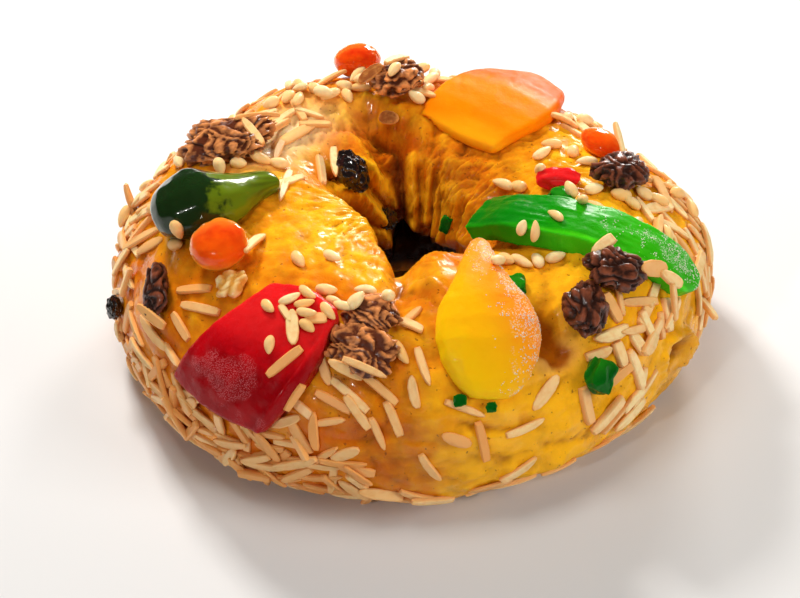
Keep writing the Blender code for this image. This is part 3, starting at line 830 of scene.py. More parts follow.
def make_nut_material(name, light, dark, rough, scale):
    """Almond or pine nut: cream, each nut with its own tone, darker and toasted towards its ends."""
    material, tree, shader, place = new_material(name)
    tone = read_attribute(tree, "tone")
    base = blend_colour(tree, math_node(tree, "MINIMUM", tone, 1.0), light, dark)
    base = blend_colour(tree, ramp(tree, tone, 1.0, 2.0), base, WELL_TOASTED)
    ends = times(tree, ramp(tree, read_attribute(tree, "ends"), 0.72, 1.0), 0.4)
    # Darker towards the ends, where the nuts are toasted, and along the sides of the slivers.
    worn = math_node(tree, "MAXIMUM", ends, times(tree, read_attribute(tree, "side"), 0.7))
    base = blend_colour(tree, worn, base, dark)
    streaks = mottle(tree, place, scale, 3.0, 0.4, 0.75)
    base = blend_colour(tree, times(tree, streaks, 0.4), base, dark)
    tree.links.new(base, shader.inputs["Base Color"])
    set_shader(shader, Roughness=rough, Specular_IOR_Level=0.35, Coat_Weight=0.1, Coat_Roughness=0.2)
    set_shader(shader, Subsurface_Weight=0.15, Subsurface_Scale=0.002)
    set_bump(tree, shader, grain(tree, place, 700.0, 2200.0, 0.3), 0.25, 0.0004)
    return material


def make_walnut_material(name, light, dark):
    """Walnut half: brown skin, paler on the crests and nearly black in the furrows, partly the skin's own
    darker brown and partly painted shade.
    """
    material, tree, shader, place = new_material(name)
    furrow_shade = read_attribute(tree, "furrow_shade")
    clouds = mottle(tree, place, 260.0, 4.0, 0.3, 0.7)
    share = plus(tree, furrow_shade, times(tree, clouds, 0.6), clamp=True)
    tree.links.new(blend_colour(tree, share, light, dark), shader.inputs["Base Color"])
    set_shader(shader, Roughness=0.4, Specular_IOR_Level=0.4, Coat_Weight=0.3, Coat_Roughness=0.14)
    set_bump(tree, shader, grain(tree, place, 600.0, 1800.0, 0.4), 0.5, 0.0005)
    return material


def make_raisin_material(name, colours):
    """Prune or raisin: nearly black, wrinkled and sticky, wine red where it is thin."""
    material, tree, shader, place = new_material(name)
    clouds = mottle(tree, place, 330.0, 4.0, 0.5, 0.8)
    base = blend_colour(tree, clouds, colours.raisin, colours.raisin_red)
    tree.links.new(base, shader.inputs["Base Color"])
    set_shader(shader, Roughness=0.24, Coat_Weight=0.8, Coat_Roughness=0.08)
    set_bump(tree, shader, grain(tree, place, 520.0, 1500.0, 0.4), 0.6, 0.0006)
    return material


# ---- Dough


def dough_rolls():
    """Rolls of the dough's rows: close over the side and the crown, wide under the base."""
    side = np.linspace(SIDE_STARTS, BASE_STARTS, SIDE_ROWS, endpoint=False)
    base = np.linspace(BASE_STARTS, SIDE_STARTS + 360.0, BASE_ROWS, endpoint=False)
    return np.concatenate((side, base))


def measure_dough(bearings, rolls):
    """How far the frame's dough lies from the core at each place, and where no topping covers it."""
    dough = tree_of([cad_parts["dough_ring"]])
    toppings = tree_of([node for name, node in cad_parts.items() if name != "dough_ring"])
    reach = np.zeros((len(bearings), len(rolls)))
    bare = np.ones(reach.shape, bool)
    for i, bearing in enumerate(bearings):
        for j, roll in enumerate(rolls):
            core, way, hit = skin_at(dough, bearing, roll)
            bare[i, j] = hit is not None and toppings.ray_cast(core, way, REACH)[0] is None
            reach[i, j] = (hit - core).length if hit is not None else 0.0
    return reach, bare


def grown(mask, steps):
    """A mask grown by some cells on a grid that closes on itself."""
    for _ in range(steps):
        mask = mask | np.roll(mask, 1, 0) | np.roll(mask, -1, 0) | np.roll(mask, 1, 1) | np.roll(mask, -1, 1)
    return mask


def around_mean(values, stride):
    """Mean of the four cells at a stride from each cell."""
    pairs = ((stride, 0), (-stride, 0), (stride, 1), (-stride, 1))
    return sum(np.roll(values, shift, axis) for shift, axis in pairs) / 4.0


def filled_in(values, known):
    """Unknown cells bridged from the known ones round them, first widely and then closely."""
    full = np.where(known, values, values[known].mean())
    for stride in BRIDGE_STRIDES:
        for _ in range(BRIDGE_ROUNDS):
            full = np.where(known, full, around_mean(full, stride))
    return full


def softened(values, rounds, axis):
    """Values smoothed along one axis of a grid that closes on itself."""
    for _ in range(rounds):
        values = 0.5 * values + 0.25 * (np.roll(values, 1, axis) + np.roll(values, -1, axis))
    return values


def run_gap(bearing, roll, scales, places, wide):
    """How far each cell lies from a run of places over the skin, in half widths of the run."""
    nearest = np.full(bearing.shape, 1.0)
    for (b1, r1), (b2, r2) in zip(places, places[1:]):
        run_b, run_r = angle_gap(b2, b1) * scales[0], (r2 - r1) * scales[1]
        db, dr = angle_gap(bearing, b1) * scales[0], angle_gap(roll, r1) * scales[1]
        share = np.clip((db * run_b + dr * run_r) / np.maximum(run_b**2 + run_r**2, 1e-12), 0.0, 1.0)
        nearest = np.minimum(nearest, np.hypot(db - share * run_b, dr - share * run_r))
    return nearest / (wide * MM)


def noise_field(u, v, seed, octaves=2):
    """Noise read at a grid of two coordinates."""
    flat = [
        noise.fractal(Vector((a, b, seed)), 0.9, 2.1, octaves)
        for a, b in zip(u.ravel().tolist(), v.ravel().tolist())
    ]
    return np.array(flat).reshape(u.shape)


def below_drips(roll, waver):
    """Where the hole's wall lies back under the ends of the drips, from 0 to 1."""
    below = np.clip((roll - DRIPS_END - 4.0 * waver) / 7.0, 0.0, 1.0)
    return below * np.clip((BASE_STARTS - roll) / 8.0, 0.0, 1.0)


def dough_relief(bearing, roll, reach):
    """Folds, creases, wrinkles and tears of the dough, as a rise in metres at each cell."""
    radius = CORE_RADIUS + reach * np.cos(np.radians(roll))
    scales = np.radians(radius), np.radians(reach)
    turn, tilt = np.radians(bearing), np.radians(roll)
    waver = noise_field(np.cos(turn) * 9.0 + tilt * 5.0, np.sin(turn) * 9.0 - tilt * 4.0, 61.0)
    rise = np.zeros(reach.shape)
    for places, height, wide in RIDGES:
        gap = run_gap(bearing, roll, scales, places, wide)
        rise += height * MM * np.exp(-((gap * (1.0 + 0.35 * waver)) ** 2))
    for place, height, wide in SWELLINGS:
        rise += height * MM * np.exp(-(run_gap(bearing, roll, scales, (place, place), wide) ** 2))
    for places, depth, wide in CREASES:
        gap = run_gap(bearing, roll, scales, places, wide)
        rise -= depth * MM * np.exp(-gap * (1.0 + 0.4 * waver))
    for k, (place, spread, (wave_b, wave_r), height) in enumerate(WRINKLES):
        where = patch(bearing, roll, place, spread)
        along = turn * (radius * 0.5 + 0.02) / (wave_b * MM) + waver * 0.8
        across = tilt * MEAN_REACH / (wave_r * MM) + waver * 0.6
        folds = np.minimum(np.abs(noise_field(along, across, 7.3 * k)) * 2.6, 1.0)
        rise += where * height * MM * (folds - 0.5)
    for place, spread, depth in TEARS:
        ragged = 1.0 + 0.8 * noise_field(turn * 22.0, tilt * 18.0, place[0])
        rise -= depth * MM * patch(bearing, roll, place, spread) * np.clip(ragged, 0.0, 1.6)
    lumpy = noise_field(bearing * 0.14, roll * 0.11, 40.0, 3)
    rise -= DRIP_OVERHANG * below_drips(roll, waver)
    return rise + (lumpy * 0.9 + waver * 0.4) * MM


def make_dough():
    """The dough: a torus whose points go to the frame's skin and then get the folds and wrinkles."""
    rolls = dough_rolls()
    bearings = np.arange(AROUND) * 360.0 / AROUND
    reach, bare = measure_dough(bearings, rolls)
    reach = filled_in(reach, ~grown(~bare, 3))
    reach = softened(softened(reach, 8, 0), 12, 1)
    bearing, roll = np.meshgrid(bearings, rolls, indexing="ij")
    turn, tilt = np.radians(bearing), np.radians(roll)
    upright = np.clip((np.sin(tilt) * reach + CORE_HEIGHT) / PLAIN_FOOT, 0.0, 1.0)
    detailed = reach + dough_relief(bearing, roll, reach) * upright
    radius = CORE_RADIUS + detailed * np.cos(tilt)
    height = np.maximum(CORE_HEIGHT + detailed * np.sin(tilt), 0.0)
    points = np.stack((radius * np.cos(turn), radius * np.sin(turn), height), axis=-1)

    piece = start_from(
        bpy.ops.mesh.primitive_torus_add,
        "dough_crust",
        major_segments=AROUND // 2,
        minor_segments=len(rolls) // 2,
        major_radius=CORE_RADIUS,
        minor_radius=MEAN_REACH,
        generate_uvs=False,
    )
    edit_all(piece, bpy.ops.mesh.subdivide, number_cuts=1)
    x, y, z = points_of(piece).T
    column = np.arctan2(y, x) * AROUND / math.tau
    row = np.arctan2(z, np.hypot(x, y) - CORE_RADIUS) * len(rolls) / math.tau
    cell = (np.rint(column).astype(int) % AROUND, np.rint(row).astype(int) % len(rolls))
    set_points(piece, points[cell])

    # Painted shade in the hollows under the softened skin, painted light on the crests over it.
    around = softened(softened(detailed, 30, 0), 30, 1)
    hollow_shade = np.clip((around - detailed) / FULL_FOLD, 0.0, 1.0)
    crest_light = np.clip((detailed - around) / FULL_FOLD, 0.0, 1.0)
    foot = np.clip(1.0 - height / TOASTED_FOOT, 0.0, 1.0)
    skin = (CORE_RADIUS * np.cos(turn), CORE_RADIUS * np.sin(turn), tilt * MEAN_REACH)
    marks = {
        "skin": np.stack(skin, axis=-1),
        "hanging": np.clip((roll - 128.0) / 14.0, 0.0, 1.0),
        "stretched": patches(bearing, roll, STRETCHED_PATCHES),
        "hollow_shade": np.clip(hollow_shade * 0.75 + patches(bearing, roll, AMBER_SHADE_PATCHES), 0.0, 1.0),
        # Painted light: the crests turn yellower.
        "yellow": np.clip(patches(bearing, roll, YELLOW_AND_LIT_PATCHES) + crest_light * 0.6, 0.0, 1.0),
        "pale": patches(bearing, roll, PALE_AND_HIGHLIGHT_PATCHES),
        # Painted shade patches.
        "dark": patches(bearing, roll, PAINTED_SHADE_PATCHES),
        # Painted shade in the hole's depth: the wall under the drips.
        "deep": below_drips(roll, 0.0),
        # Toasted towards the foot, with painted shade from the hollows.
        "toast_and_shade": np.clip(0.25 + foot + hollow_shade * 0.5, 0.0, 1.0),
    }
    for name, values in marks.items():
        set_attribute(piece, name, values[cell])
    smooth_shading(piece, ALL_SMOOTH)
    return piece


# ---- Candied fruit


def merged_copy(node, name):
    """A copy of a CAD node under a new name, with its loose triangles merged."""
    piece = bpy.data.objects.new(name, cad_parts[node].data.copy())
    piece.data.name = name
    bpy.context.scene.collection.objects.link(piece)
    edit_all(piece, bpy.ops.mesh.remove_doubles, threshold=0.02 * MM)
    return piece


def even_out(piece, voxel, rounds):
    """Gives a piece even small faces of a size in millimetres, and rounds its edges."""
    apply_modifier(piece, "REMESH", mode="VOXEL", voxel_size=voxel * MM, use_smooth_shade=True)
    apply_modifier(piece, "SMOOTH", factor=0.5, iterations=rounds)


def add_relief(piece, name, size, strength):
    """Raises and lowers a piece's surface by procedural clouds."""
    texture = bpy.data.textures.new(name, "CLOUDS")
    texture.noise_scale = size * MM
    apply_modifier(
        piece, "DISPLACE", texture=texture, strength=strength * MM, mid_level=0.5, texture_coords="LOCAL"
    )


def shares(points, axis):
    """How far each point lies along one axis between the first and the last of them, from 0 to 1."""
    reach = points[:, axis]
    return (reach - reach.min()) / (reach.max() - reach.min())


def make_slab(node, name, voxel, rounds, swell, relief, slimmed=False):
    """A candied slab from its CAD node: softened and swollen a little, then given its uneven face."""
    piece = merged_copy(node, name)
    even_out(piece, voxel, rounds)
    apply_modifier(piece, "DISPLACE", strength=swell * MM, mid_level=0.0)
    if slimmed:
        slim(piece, node)
    for size, strength in relief:
        add_relief(piece, f"{name}_waves_{size:.0f}", size, strength)
    smooth_shading(piece, ALL_SMOOTH)
    return piece


def push(piece, rises):
    """Moves a piece's points away from the ring's core by a rise in millimetres for each."""
    points = points_of(piece)
    flat = np.hypot(points[:, 0], points[:, 1])
    core = points * (CORE_RADIUS / flat)[:, None]
    core[:, 2] = CORE_HEIGHT
    ways = points - core
    ways /= np.linalg.norm(ways, axis=1)[:, None]
    set_points(piece, points + ways * (np.asarray(rises) * MM)[:, None])


def node_frame(name):
    """A CAD node's middle, its directions (long, across, outwards) and its half sizes along them."""
    points = points_of(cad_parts[name])
    low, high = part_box(name)
    middle = (low + high) / 2.0
    flat = Vector((middle.x, middle.y, 0.0))
    core = flat.normalized() * CORE_RADIUS + Vector((0.0, 0.0, CORE_HEIGHT))
    out = (middle - core).normalized()
    spread = points - points.mean(axis=0)
    spread = spread - np.outer(spread @ np.array(out), np.array(out))
    long_way = Vector(np.linalg.eigh(spread.T @ spread)[1][:, -1]).normalized()
    long_way = (long_way - out * long_way.dot(out)).normalized()
    across = out.cross(long_way)
    halves, middle = [], Vector((0.0, 0.0, 0.0))
    for way in (long_way, across, out):
        reach = points @ np.array(way)
        halves.append((reach.max() - reach.min()) / 2.0)
        middle += way * (reach.max() + reach.min()) / 2.0
    turn = Matrix((long_way, across, out)).transposed()
    return middle, turn, Vector(halves)


def facing(way, axis):
    """A direction or its opposite: the one that runs towards the plus end of an axis."""
    return way if way[axis] > 0.0 else -way


def spans(points, node):
    """Each point's place along and across a CAD node, from -1 to 1: along towards +Y, across towards +X."""
    middle, turn, halves = node_frame(node)
    along, across = facing(turn.col[0], 1), facing(turn.col[1], 0)
    away = points - np.array(middle)
    return away @ np.array(along) / halves.x, away @ np.array(across) / halves.y


def angles_of(points):
    """The bearing and the roll of each point, in degrees."""
    bearing = np.degrees(np.arctan2(points[:, 1], points[:, 0])) % 360.0
    flat = np.hypot(points[:, 0], points[:, 1]) - CORE_RADIUS
    return bearing, np.degrees(np.arctan2(points[:, 2] - CORE_HEIGHT, flat))


def put_in_place(piece, points, middle, turn, angle=ALL_SMOOTH):
    """Gives a piece modelled about the origin its points, puts it in its place in its mesh and shades it."""
    set_points(piece, points)
    piece.matrix_world = Matrix.Translation(middle) @ turn.to_4x4()
    settle_place(piece)
    smooth_shading(piece, angle)


def slim(piece, node):
    """Draws a slab in towards its tip, so that its sides run straight."""
    _, turn, halves = node_frame(node)
    points = points_of(piece)
    along, across = spans(points, node)
    tip = np.clip(along + 0.2, 0.0, 1.0) * np.clip(1.3 - along, 0.0, 1.0)
    moved = tip * (0.16 - 0.30 * across) * halves.y
    set_points(piece, points + np.outer(moved, np.array(facing(turn.col[1], 0))))


def drawn_out(tops, ways):
    """A run of points and their ways, with some steps added past its end and then turned round."""
    for _ in range(STRIP_ENDS):
        tops.append(tops[-1] + (tops[-1] - tops[-1 - STRIP_TREND]) / STRIP_TREND)
        ways.append(ways[-1])
    return tops[::-1], ways[::-1]


def strip_line(node):
    """The melon strip's top: points along it, the ways to its near side and the ways outwards."""
    tree = tree_of([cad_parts[node]])
    knots = np.linspace(0.0, 1.0, len(STRIP_SPINE))
    tops, ways = [], []
    for share in np.linspace(*STRIP_SHARES, STRIP_STEPS):
        bearing, roll = (np.interp(share, knots, line) for line in zip(*STRIP_SPINE))
        _, way, hit = skin_at(tree, bearing, roll)
        if hit is not None:
            tops.append(hit)
            ways.append(way)
    for _ in range(2):
        tops, ways = drawn_out(tops, ways)
    tops, ways = np.array(tops), np.array(ways)
    for _ in range(30):
        tops[1:-1] = 0.5 * tops[1:-1] + 0.25 * (tops[:-2] + tops[2:])
    ahead = np.gradient(tops, axis=0)
    ahead /= np.linalg.norm(ahead, axis=1)[:, None]
    ways -= ahead * (ways * ahead).sum(axis=1)[:, None]
    ways /= np.linalg.norm(ways, axis=1)[:, None]
    sideways = np.cross(ahead, ways)
    return tops, sideways * (-1.0 if sideways[len(sideways) // 2, 1] > 0.0 else 1.0), ways


def between(rows, spot):
    """Rows of a table read at places between them."""
    steps = np.arange(len(rows))
    return np.stack([np.interp(spot, steps, column) for column in rows.T], axis=1)


def make_strip_body(name, node):
    """The melon strip: a finely cut block laid along its line, flat on top and square at its left end."""
    tops, sideways, outwards = strip_line(node)
    piece = start_from(bpy.ops.mesh.primitive_cube_add, name, size=2.0)
    edit_all(piece, bpy.ops.mesh.subdivide, number_cuts=40)
    x, y, z = points_of(piece).T
    plain = (x + 1.0) / 2.0
    share = np.clip(0.02 + 0.98 * plain - 0.01 * y * (1.0 - plain) ** 6, 0.0, 1.0)
    knots = np.linspace(0.0, 1.0, len(STRIP_WIDTHS))
    rounding = 1.0 - np.clip((share - 0.90) / 0.10, 0.0, 1.0) ** 2.5 * 0.55
    half = np.interp(share, knots, STRIP_WIDTHS) * rounding
    thick = np.interp(share, knots, STRIP_DEPTHS)
    edge = noise_field(share * 9.0, np.sign(y) * 3.0, 5.0)
    waves = noise_field(share * 7.0, y * 1.4, 9.0) * 0.7 + noise_field(share * 9.0, y * 7.0, 12.0) * 0.35
    across = half * y * (1.0 + 0.07 * edge)
    down = STRIP_DROOP * y**2 + (1.0 - z) / 2.0 * thick - waves * (z + 1.0) / 2.0
    spot = share * (len(tops) - 1)
    points = between(tops, spot) + between(sideways, spot) * (across * MM)[:, None]
    set_points(piece, points - between(outwards, spot) * (down * MM)[:, None])
    even_out(piece, voxel=0.55, rounds=3)
    add_relief(piece, f"{name}_grain", 3.0, 0.3)
    smooth_shading(piece, ALL_SMOOTH)
    return piece


def make_ball(name, node, wrinkle, depth, swell=1.0, dents=0.05):
    """A round fruit: a ball stretched to its CAD node's size, with dents and wrinkles."""
    middle, turn, halves = node_frame(node)
    piece = start_from(bpy.ops.mesh.primitive_ico_sphere_add, name, subdivisions=5, radius=1.0)
    seed = Vector((len(name) * 3.1, sum(map(ord, name)) * 0.37, 1.7))
    moved = []
    for point in points_of(piece):
        spot = Vector(point)
        folds = noise.ridged_multi_fractal(spot * wrinkle + seed, 1.0, 2.0, 3, 1.0, 2.0)
        dent = noise.noise(spot * 1.3 + seed)
        moved.append(point * (1.0 + dents * dent - depth * (folds - 1.0) * 0.5))
    put_in_place(piece, np.array(moved) * np.array(halves) * swell, middle, turn)
    return piece


def make_chunk(name, node, size, roundness):
    """A cut chunk of candied fruit: a block cut finely, worn round, with flat facets broken out of it."""
    middle, turn, halves = node_frame(node)
    piece = start_from(bpy.ops.mesh.primitive_cube_add, name, size=2.0)
    edit_all(piece, bpy.ops.mesh.subdivide, number_cuts=14)
    apply_modifier(piece, "CAST", factor=roundness)
    seed = Vector((sum(map(ord, name)) * 0.53, len(name) * 1.9, 4.2))
    moved = []
    for point in points_of(piece):
        spot = Vector(point)
        gaps = noise.voronoi(spot * 1.5 + seed)[0]
        moved.append(point * (0.92 + 0.24 * noise.noise(spot * 1.2 + seed) - 0.12 * (gaps[0] - 0.3)))
    put_in_place(piece, np.array(moved) * np.array(halves) * np.array(size), middle, turn, 35.0)
    return piece


def make_walnut(name, node, seed, lobe_size, swell):
    """A walnut half: two rows of winding lobes, parted by furrows and broken across, with a ragged outline."""
    middle, turn, halves = node_frame(node)
    halves = np.array(halves) * swell
    piece = start_from(bpy.ops.mesh.primitive_ico_sphere_add, name, subdivisions=5, radius=1.0)
    shift = Vector((seed, seed * 0.7, seed * 1.3))
    moved, furrows = [], []
    for point in points_of(piece):
        x, y, z = point
        spot = Vector(point * halves / (lobe_size * MM))
        warp = noise.noise(spot * 0.7 + shift * 1.7)
        winding = noise.noise(spot * 0.45 + shift) * 3.0 + 0.5 * abs(spot.y) + 0.3 * spot.x + warp * 0.7
        lobe = abs(math.sin(math.pi * winding)) ** 0.62
        crossing = noise.noise(spot * 0.55 - shift) * 2.2 + 0.4 * spot.x
        broken = min(1.0, abs(math.sin(math.pi * crossing)) * 2.2)
        fine = noise.noise(spot * 2.6 - shift) + 0.7 * noise.noise(spot * 5.5 + shift)
        split = math.exp(-(((y + 0.10 * math.sin(x * 3.0 + seed)) / 0.10) ** 2))
        outline = 1.0 + 0.26 * noise.noise(Vector((x * 1.7, y * 1.7, seed + z * 0.4)))
        size = outline * (0.70 + 0.26 * lobe + 0.08 * broken + 0.055 * fine - 0.14 * split)
        moved.append((x * size, y * size, z * size * (1.0 if z > 0 else 0.8)))
        furrows.append(min(1.0, (1.0 - lobe) * 1.5 + (1.0 - broken) * 0.6 + split * 0.5 - fine * 0.35))
    set_attribute(piece, "furrow_shade", furrows)
    put_in_place(piece, np.array(moved) * halves, middle, turn)
    return piece


# ---- Scattered nuts


class Heap:
    """Gathers many small models into one mesh, each with a tone of its own."""

    def __init__(self):
        self.points, self.faces, self.marks = [], [], {"tone": [], "ends": [], "side": []}

    def add(self, model, place, tone):
        """Adds a copy of a model, turned and moved by a matrix."""
        first = len(self.points)
        half = max(abs(v.co.x) for v in model.data.vertices)
        side = model.data.attributes.get("side")
        for k, vertex in enumerate(model.data.vertices):
            self.points.append(place @ vertex.co)
            self.marks["tone"].append(tone)
            self.marks["ends"].append(abs(vertex.co.x) / half)
            self.marks["side"].append(side.data[k].value if side else 0.0)
        self.faces += [tuple(first + i for i in p.vertices) for p in model.data.polygons]

    def tree(self):
        """A search tree over what has been gathered, or None while it is empty."""
        return BVHTree.FromPolygons(self.points, self.faces) if self.points else None

    def build(self, name, angle):
        """The gathered copies as one piece."""
        mesh = bpy.data.meshes.new(name)
        mesh.from_pydata([tuple(p) for p in self.points], [], self.faces)
        piece = bpy.data.objects.new(name, mesh)
        bpy.context.scene.collection.objects.link(piece)
        for mark, values in self.marks.items():
            set_attribute(piece, mark, values)
        smooth_shading(piece, angle)
        return piece


def model_sliver(name, length, width, thickness, blunt_head, blunt_tail, bow):
    """One almond sliver along X: a flat outline raised in steps, its faces a little smaller than its waist."""
    half_step = math.radians(15.0)
    piece = start_from(
        bpy.ops.mesh.primitive_circle_add, name, vertices=12, fill_type="NGON", rotation=(0.0, 0.0, half_step)
    )
    settle_place(piece)
    up = {"value": (0.0, 0.0, 1.0)}
    edit_all(piece, bpy.ops.mesh.extrude_region_move, len(SLIVER_LEVELS) - 1, TRANSFORM_OT_translate=up)
    edit_all(piece, bpy.ops.mesh.normals_make_consistent, inside=False)
    points, sides = [], []
    for x, y, z in points_of(piece):
        waist = round(z) in (1, 2)
        blunt = blunt_head if x > 0 else blunt_tail
        share = math.copysign(abs(x) ** 0.8, x)
        half_length, half_width = length / 2.0, width / 2.0
        if not waist:
            half_length, half_width = half_length - SLIVER_BEVEL, half_width - SLIVER_BEVEL
        across = math.copysign(abs(y) ** blunt, y) * half_width
        across += 0.05 * length * (share**2 - 0.4) * (bow - 0.5)
        level = SLIVER_LEVELS[round(z)] - 0.5
        points.append((share * half_length, across, level * thickness + bow * (1.0 - share**2)))
        sides.append(1.0 if waist else 0.0)
    set_points(piece, np.array(points) * MM)
    set_attribute(piece, "side", sides)
    return piece


def model_pine_nut(name, length, width, lean):
    """One pine nut along X: a ball drawn out to a blunt point at one end."""
    piece = start_from(bpy.ops.mesh.primitive_uv_sphere_add, name, segments=10, ring_count=8, radius=1.0)
    points = []
    for x, y, z in points_of(piece):
        share = (z + 1.0) / 2.0
        girth = 1.0 - 0.36 * share**2.0
        across, thick = x * girth * width / 2.0, y * girth * width / 2.0 * 0.92
        points.append((z * length / 2.0, across + lean * z * z, thick))
    set_points(piece, np.array(points) * MM)
    edit_all(piece, bpy.ops.mesh.normals_make_consistent, inside=False)
    return piece


class Ground:
    """What small things come to rest on: the dough, the fruit on it, and what has been strewn so far."""

    def __init__(self, dough, fruit):
        self.trees = {"dough": tree_of(dough), "fruit": tree_of(fruit), "heap": None, "pile": None}

    def meet(self, start, way, far):
        """The nearest thing that a ray meets: its point, its normal, how far it is and its kind, or None."""
        best = None
        for kind, tree in self.trees.items():
            if tree is None:
                continue
            hit, normal, _, distance = tree.ray_cast(start, way, far)
            if hit is not None and (best is None or distance < best[2]):
                best = (hit, normal, distance, kind)
        return best

    def resting_place(self, bearing, roll, turn, length, lift, on_fruit):
        """Where a small thing of a length comes to rest at a place: a matrix, or None where it can't lie."""
        core, way = core_and_way(bearing, roll)
        found = self.meet(core + way * REACH, -way, REACH)
        if found is None or (found[3] == "fruit" and not on_fruit):
            return None
        middle, normal = found[0], (found[1] + way * 0.6).normalized()
        along = Vector((-middle.y, middle.x, 0.0)).normalized()
        along = (along - normal * along.dot(normal)).normalized()
        across = normal.cross(along)
        t = math.radians(turn)
        run = along * math.cos(t) + across * math.sin(t)
        ends = []
        for sign in (-1.0, 1.0):
            tip = middle + run * (sign * length * TIP_SHARE)
            met = self.meet(tip + normal * TIP_CLEARANCE, -normal, TIP_CLEARANCE * 2.5)
            if met and met[3] == "fruit" and not on_fruit:
                return None
            ends.append(met[0] if met else tip - normal * 2.0 * MM)
        raised = max(0.0, ((ends[0] + ends[1]) / 2.0 - middle).dot(normal))
        run = (ends[1] - ends[0]).normalized()
        normal = (normal - run * normal.dot(run)).normalized()
        turned = Matrix((run, normal.cross(run), normal)).transposed().to_4x4()
        return Matrix.Translation(middle + normal * (raised + lift)) @ turned


def tone_at(bearing, roll, rng):
    """How toasted a nut is: more in the glazed front than on the crown and the right, the front's darker tone
    partly glaze and toast, partly painted shade.
    """
    front = float(patch(bearing, roll, (245.0, 10.0), (60.0, 50.0)))
    return min(1.0, max(0.0, 0.05 + 0.6 * front + rng.uniform(-0.2, 0.7)))


def lay(heap, models, ground, places, lift, rng, girth=1.0, toasted=0.0):
    """Lays models at chosen places (bearing, roll, turn and, where given, length in mm), bare or on fruit."""
    for bearing, roll, turn, *rest in places:
        model, length = rng.choice(models)
        wanted = rest[0] * MM if rest else length * rng.uniform(0.88, 1.08) * girth
        place = ground.resting_place(bearing, roll, turn, wanted, lift, True)
        if place is None:
            continue
        stretch = Matrix.Diagonal((wanted / length, girth, girth, 1.0))
        heap.add(model, place @ stretch, tone_at(bearing, roll, rng) + toasted)


def strew(heap, models, ground, zones, lift, rng, keep_apart):
    """Scatters models over zones of the ring, each coming to rest on what is there already."""
    spots = []
    for (b1, b2), (r1, r2), count, mean, spread in zones:
        for k in range(count):
            for _ in range(STREW_TRIES):
                bearing, roll = rng.uniform(b1, b2), rng.uniform(r1, r2)
                core, way = core_and_way(bearing, roll)
                spot = core + way * STREW_REACH
                if all((spot - other).length > keep_apart for other in spots[-STREW_MEMORY:]):
                    break
            spots.append(spot)
            model, length = rng.choice(models)
            turn = mean + rng.uniform(-spread, spread)
            if k % STREW_ROUND == 0:
                ground.trees["heap"] = heap.tree()
            place = ground.resting_place(bearing, roll, turn, length, lift, False)
            if place is None or place.translation.z < LOWEST_NUT:
                continue
            rock = Matrix.Rotation(math.radians(rng.uniform(-9, 9)), 4, "X")
            place = place @ rock @ Matrix.Scale(rng.uniform(0.85, 1.1), 4)
            heap.add(model, place, tone_at(bearing, roll, rng))
    ground.trees["heap"] = heap.tree()


def sprinkle(heap, model, piece, count, rng):
    """Sprinkles grains over a fruit where its frost is strong."""
    frost = np.empty(len(piece.data.vertices), np.float32)
    piece.data.attributes["frost"].data.foreach_get("value", frost)
    strong = [i for i, value in enumerate(frost) if value > 0.25]
    for _ in range(count):
        i = rng.choice(strong)
        vertex = piece.data.vertices[i]
        clouds, clumps = noise.noise(vertex.co * 110.0), noise.noise(vertex.co * 420.0)
        if rng.random() > frost[i] * (clouds * 1.8 + clumps * 2.2 + 0.1):
            continue
        turned = vertex.normal.to_track_quat("Z", "Y").to_matrix().to_4x4()
        spin = Matrix.Rotation(rng.uniform(0.0, math.tau), 4, "Z")
        tilt = Matrix.Rotation(rng.uniform(0.0, 1.0), 4, "X")
        place = Matrix.Translation(vertex.co) @ turned @ (spin @ tilt)
        heap.add(model, place @ Matrix.Scale(rng.uniform(0.2, 0.6), 4), rng.random())


# ---- Settings that a user would change


def colour_property(name, description, value):
    """A colour setting with its default."""
    return bpy.props.FloatVectorProperty(
        name=name, description=description, subtype="COLOR", size=3, min=0.0, max=1.0, default=value
    )


def length_property(name, description, value):
    """A length setting in metres with its default."""
    return bpy.props.FloatProperty(
        name=name, description=description, subtype="DISTANCE", unit="LENGTH", min=0.0, default=value
    )


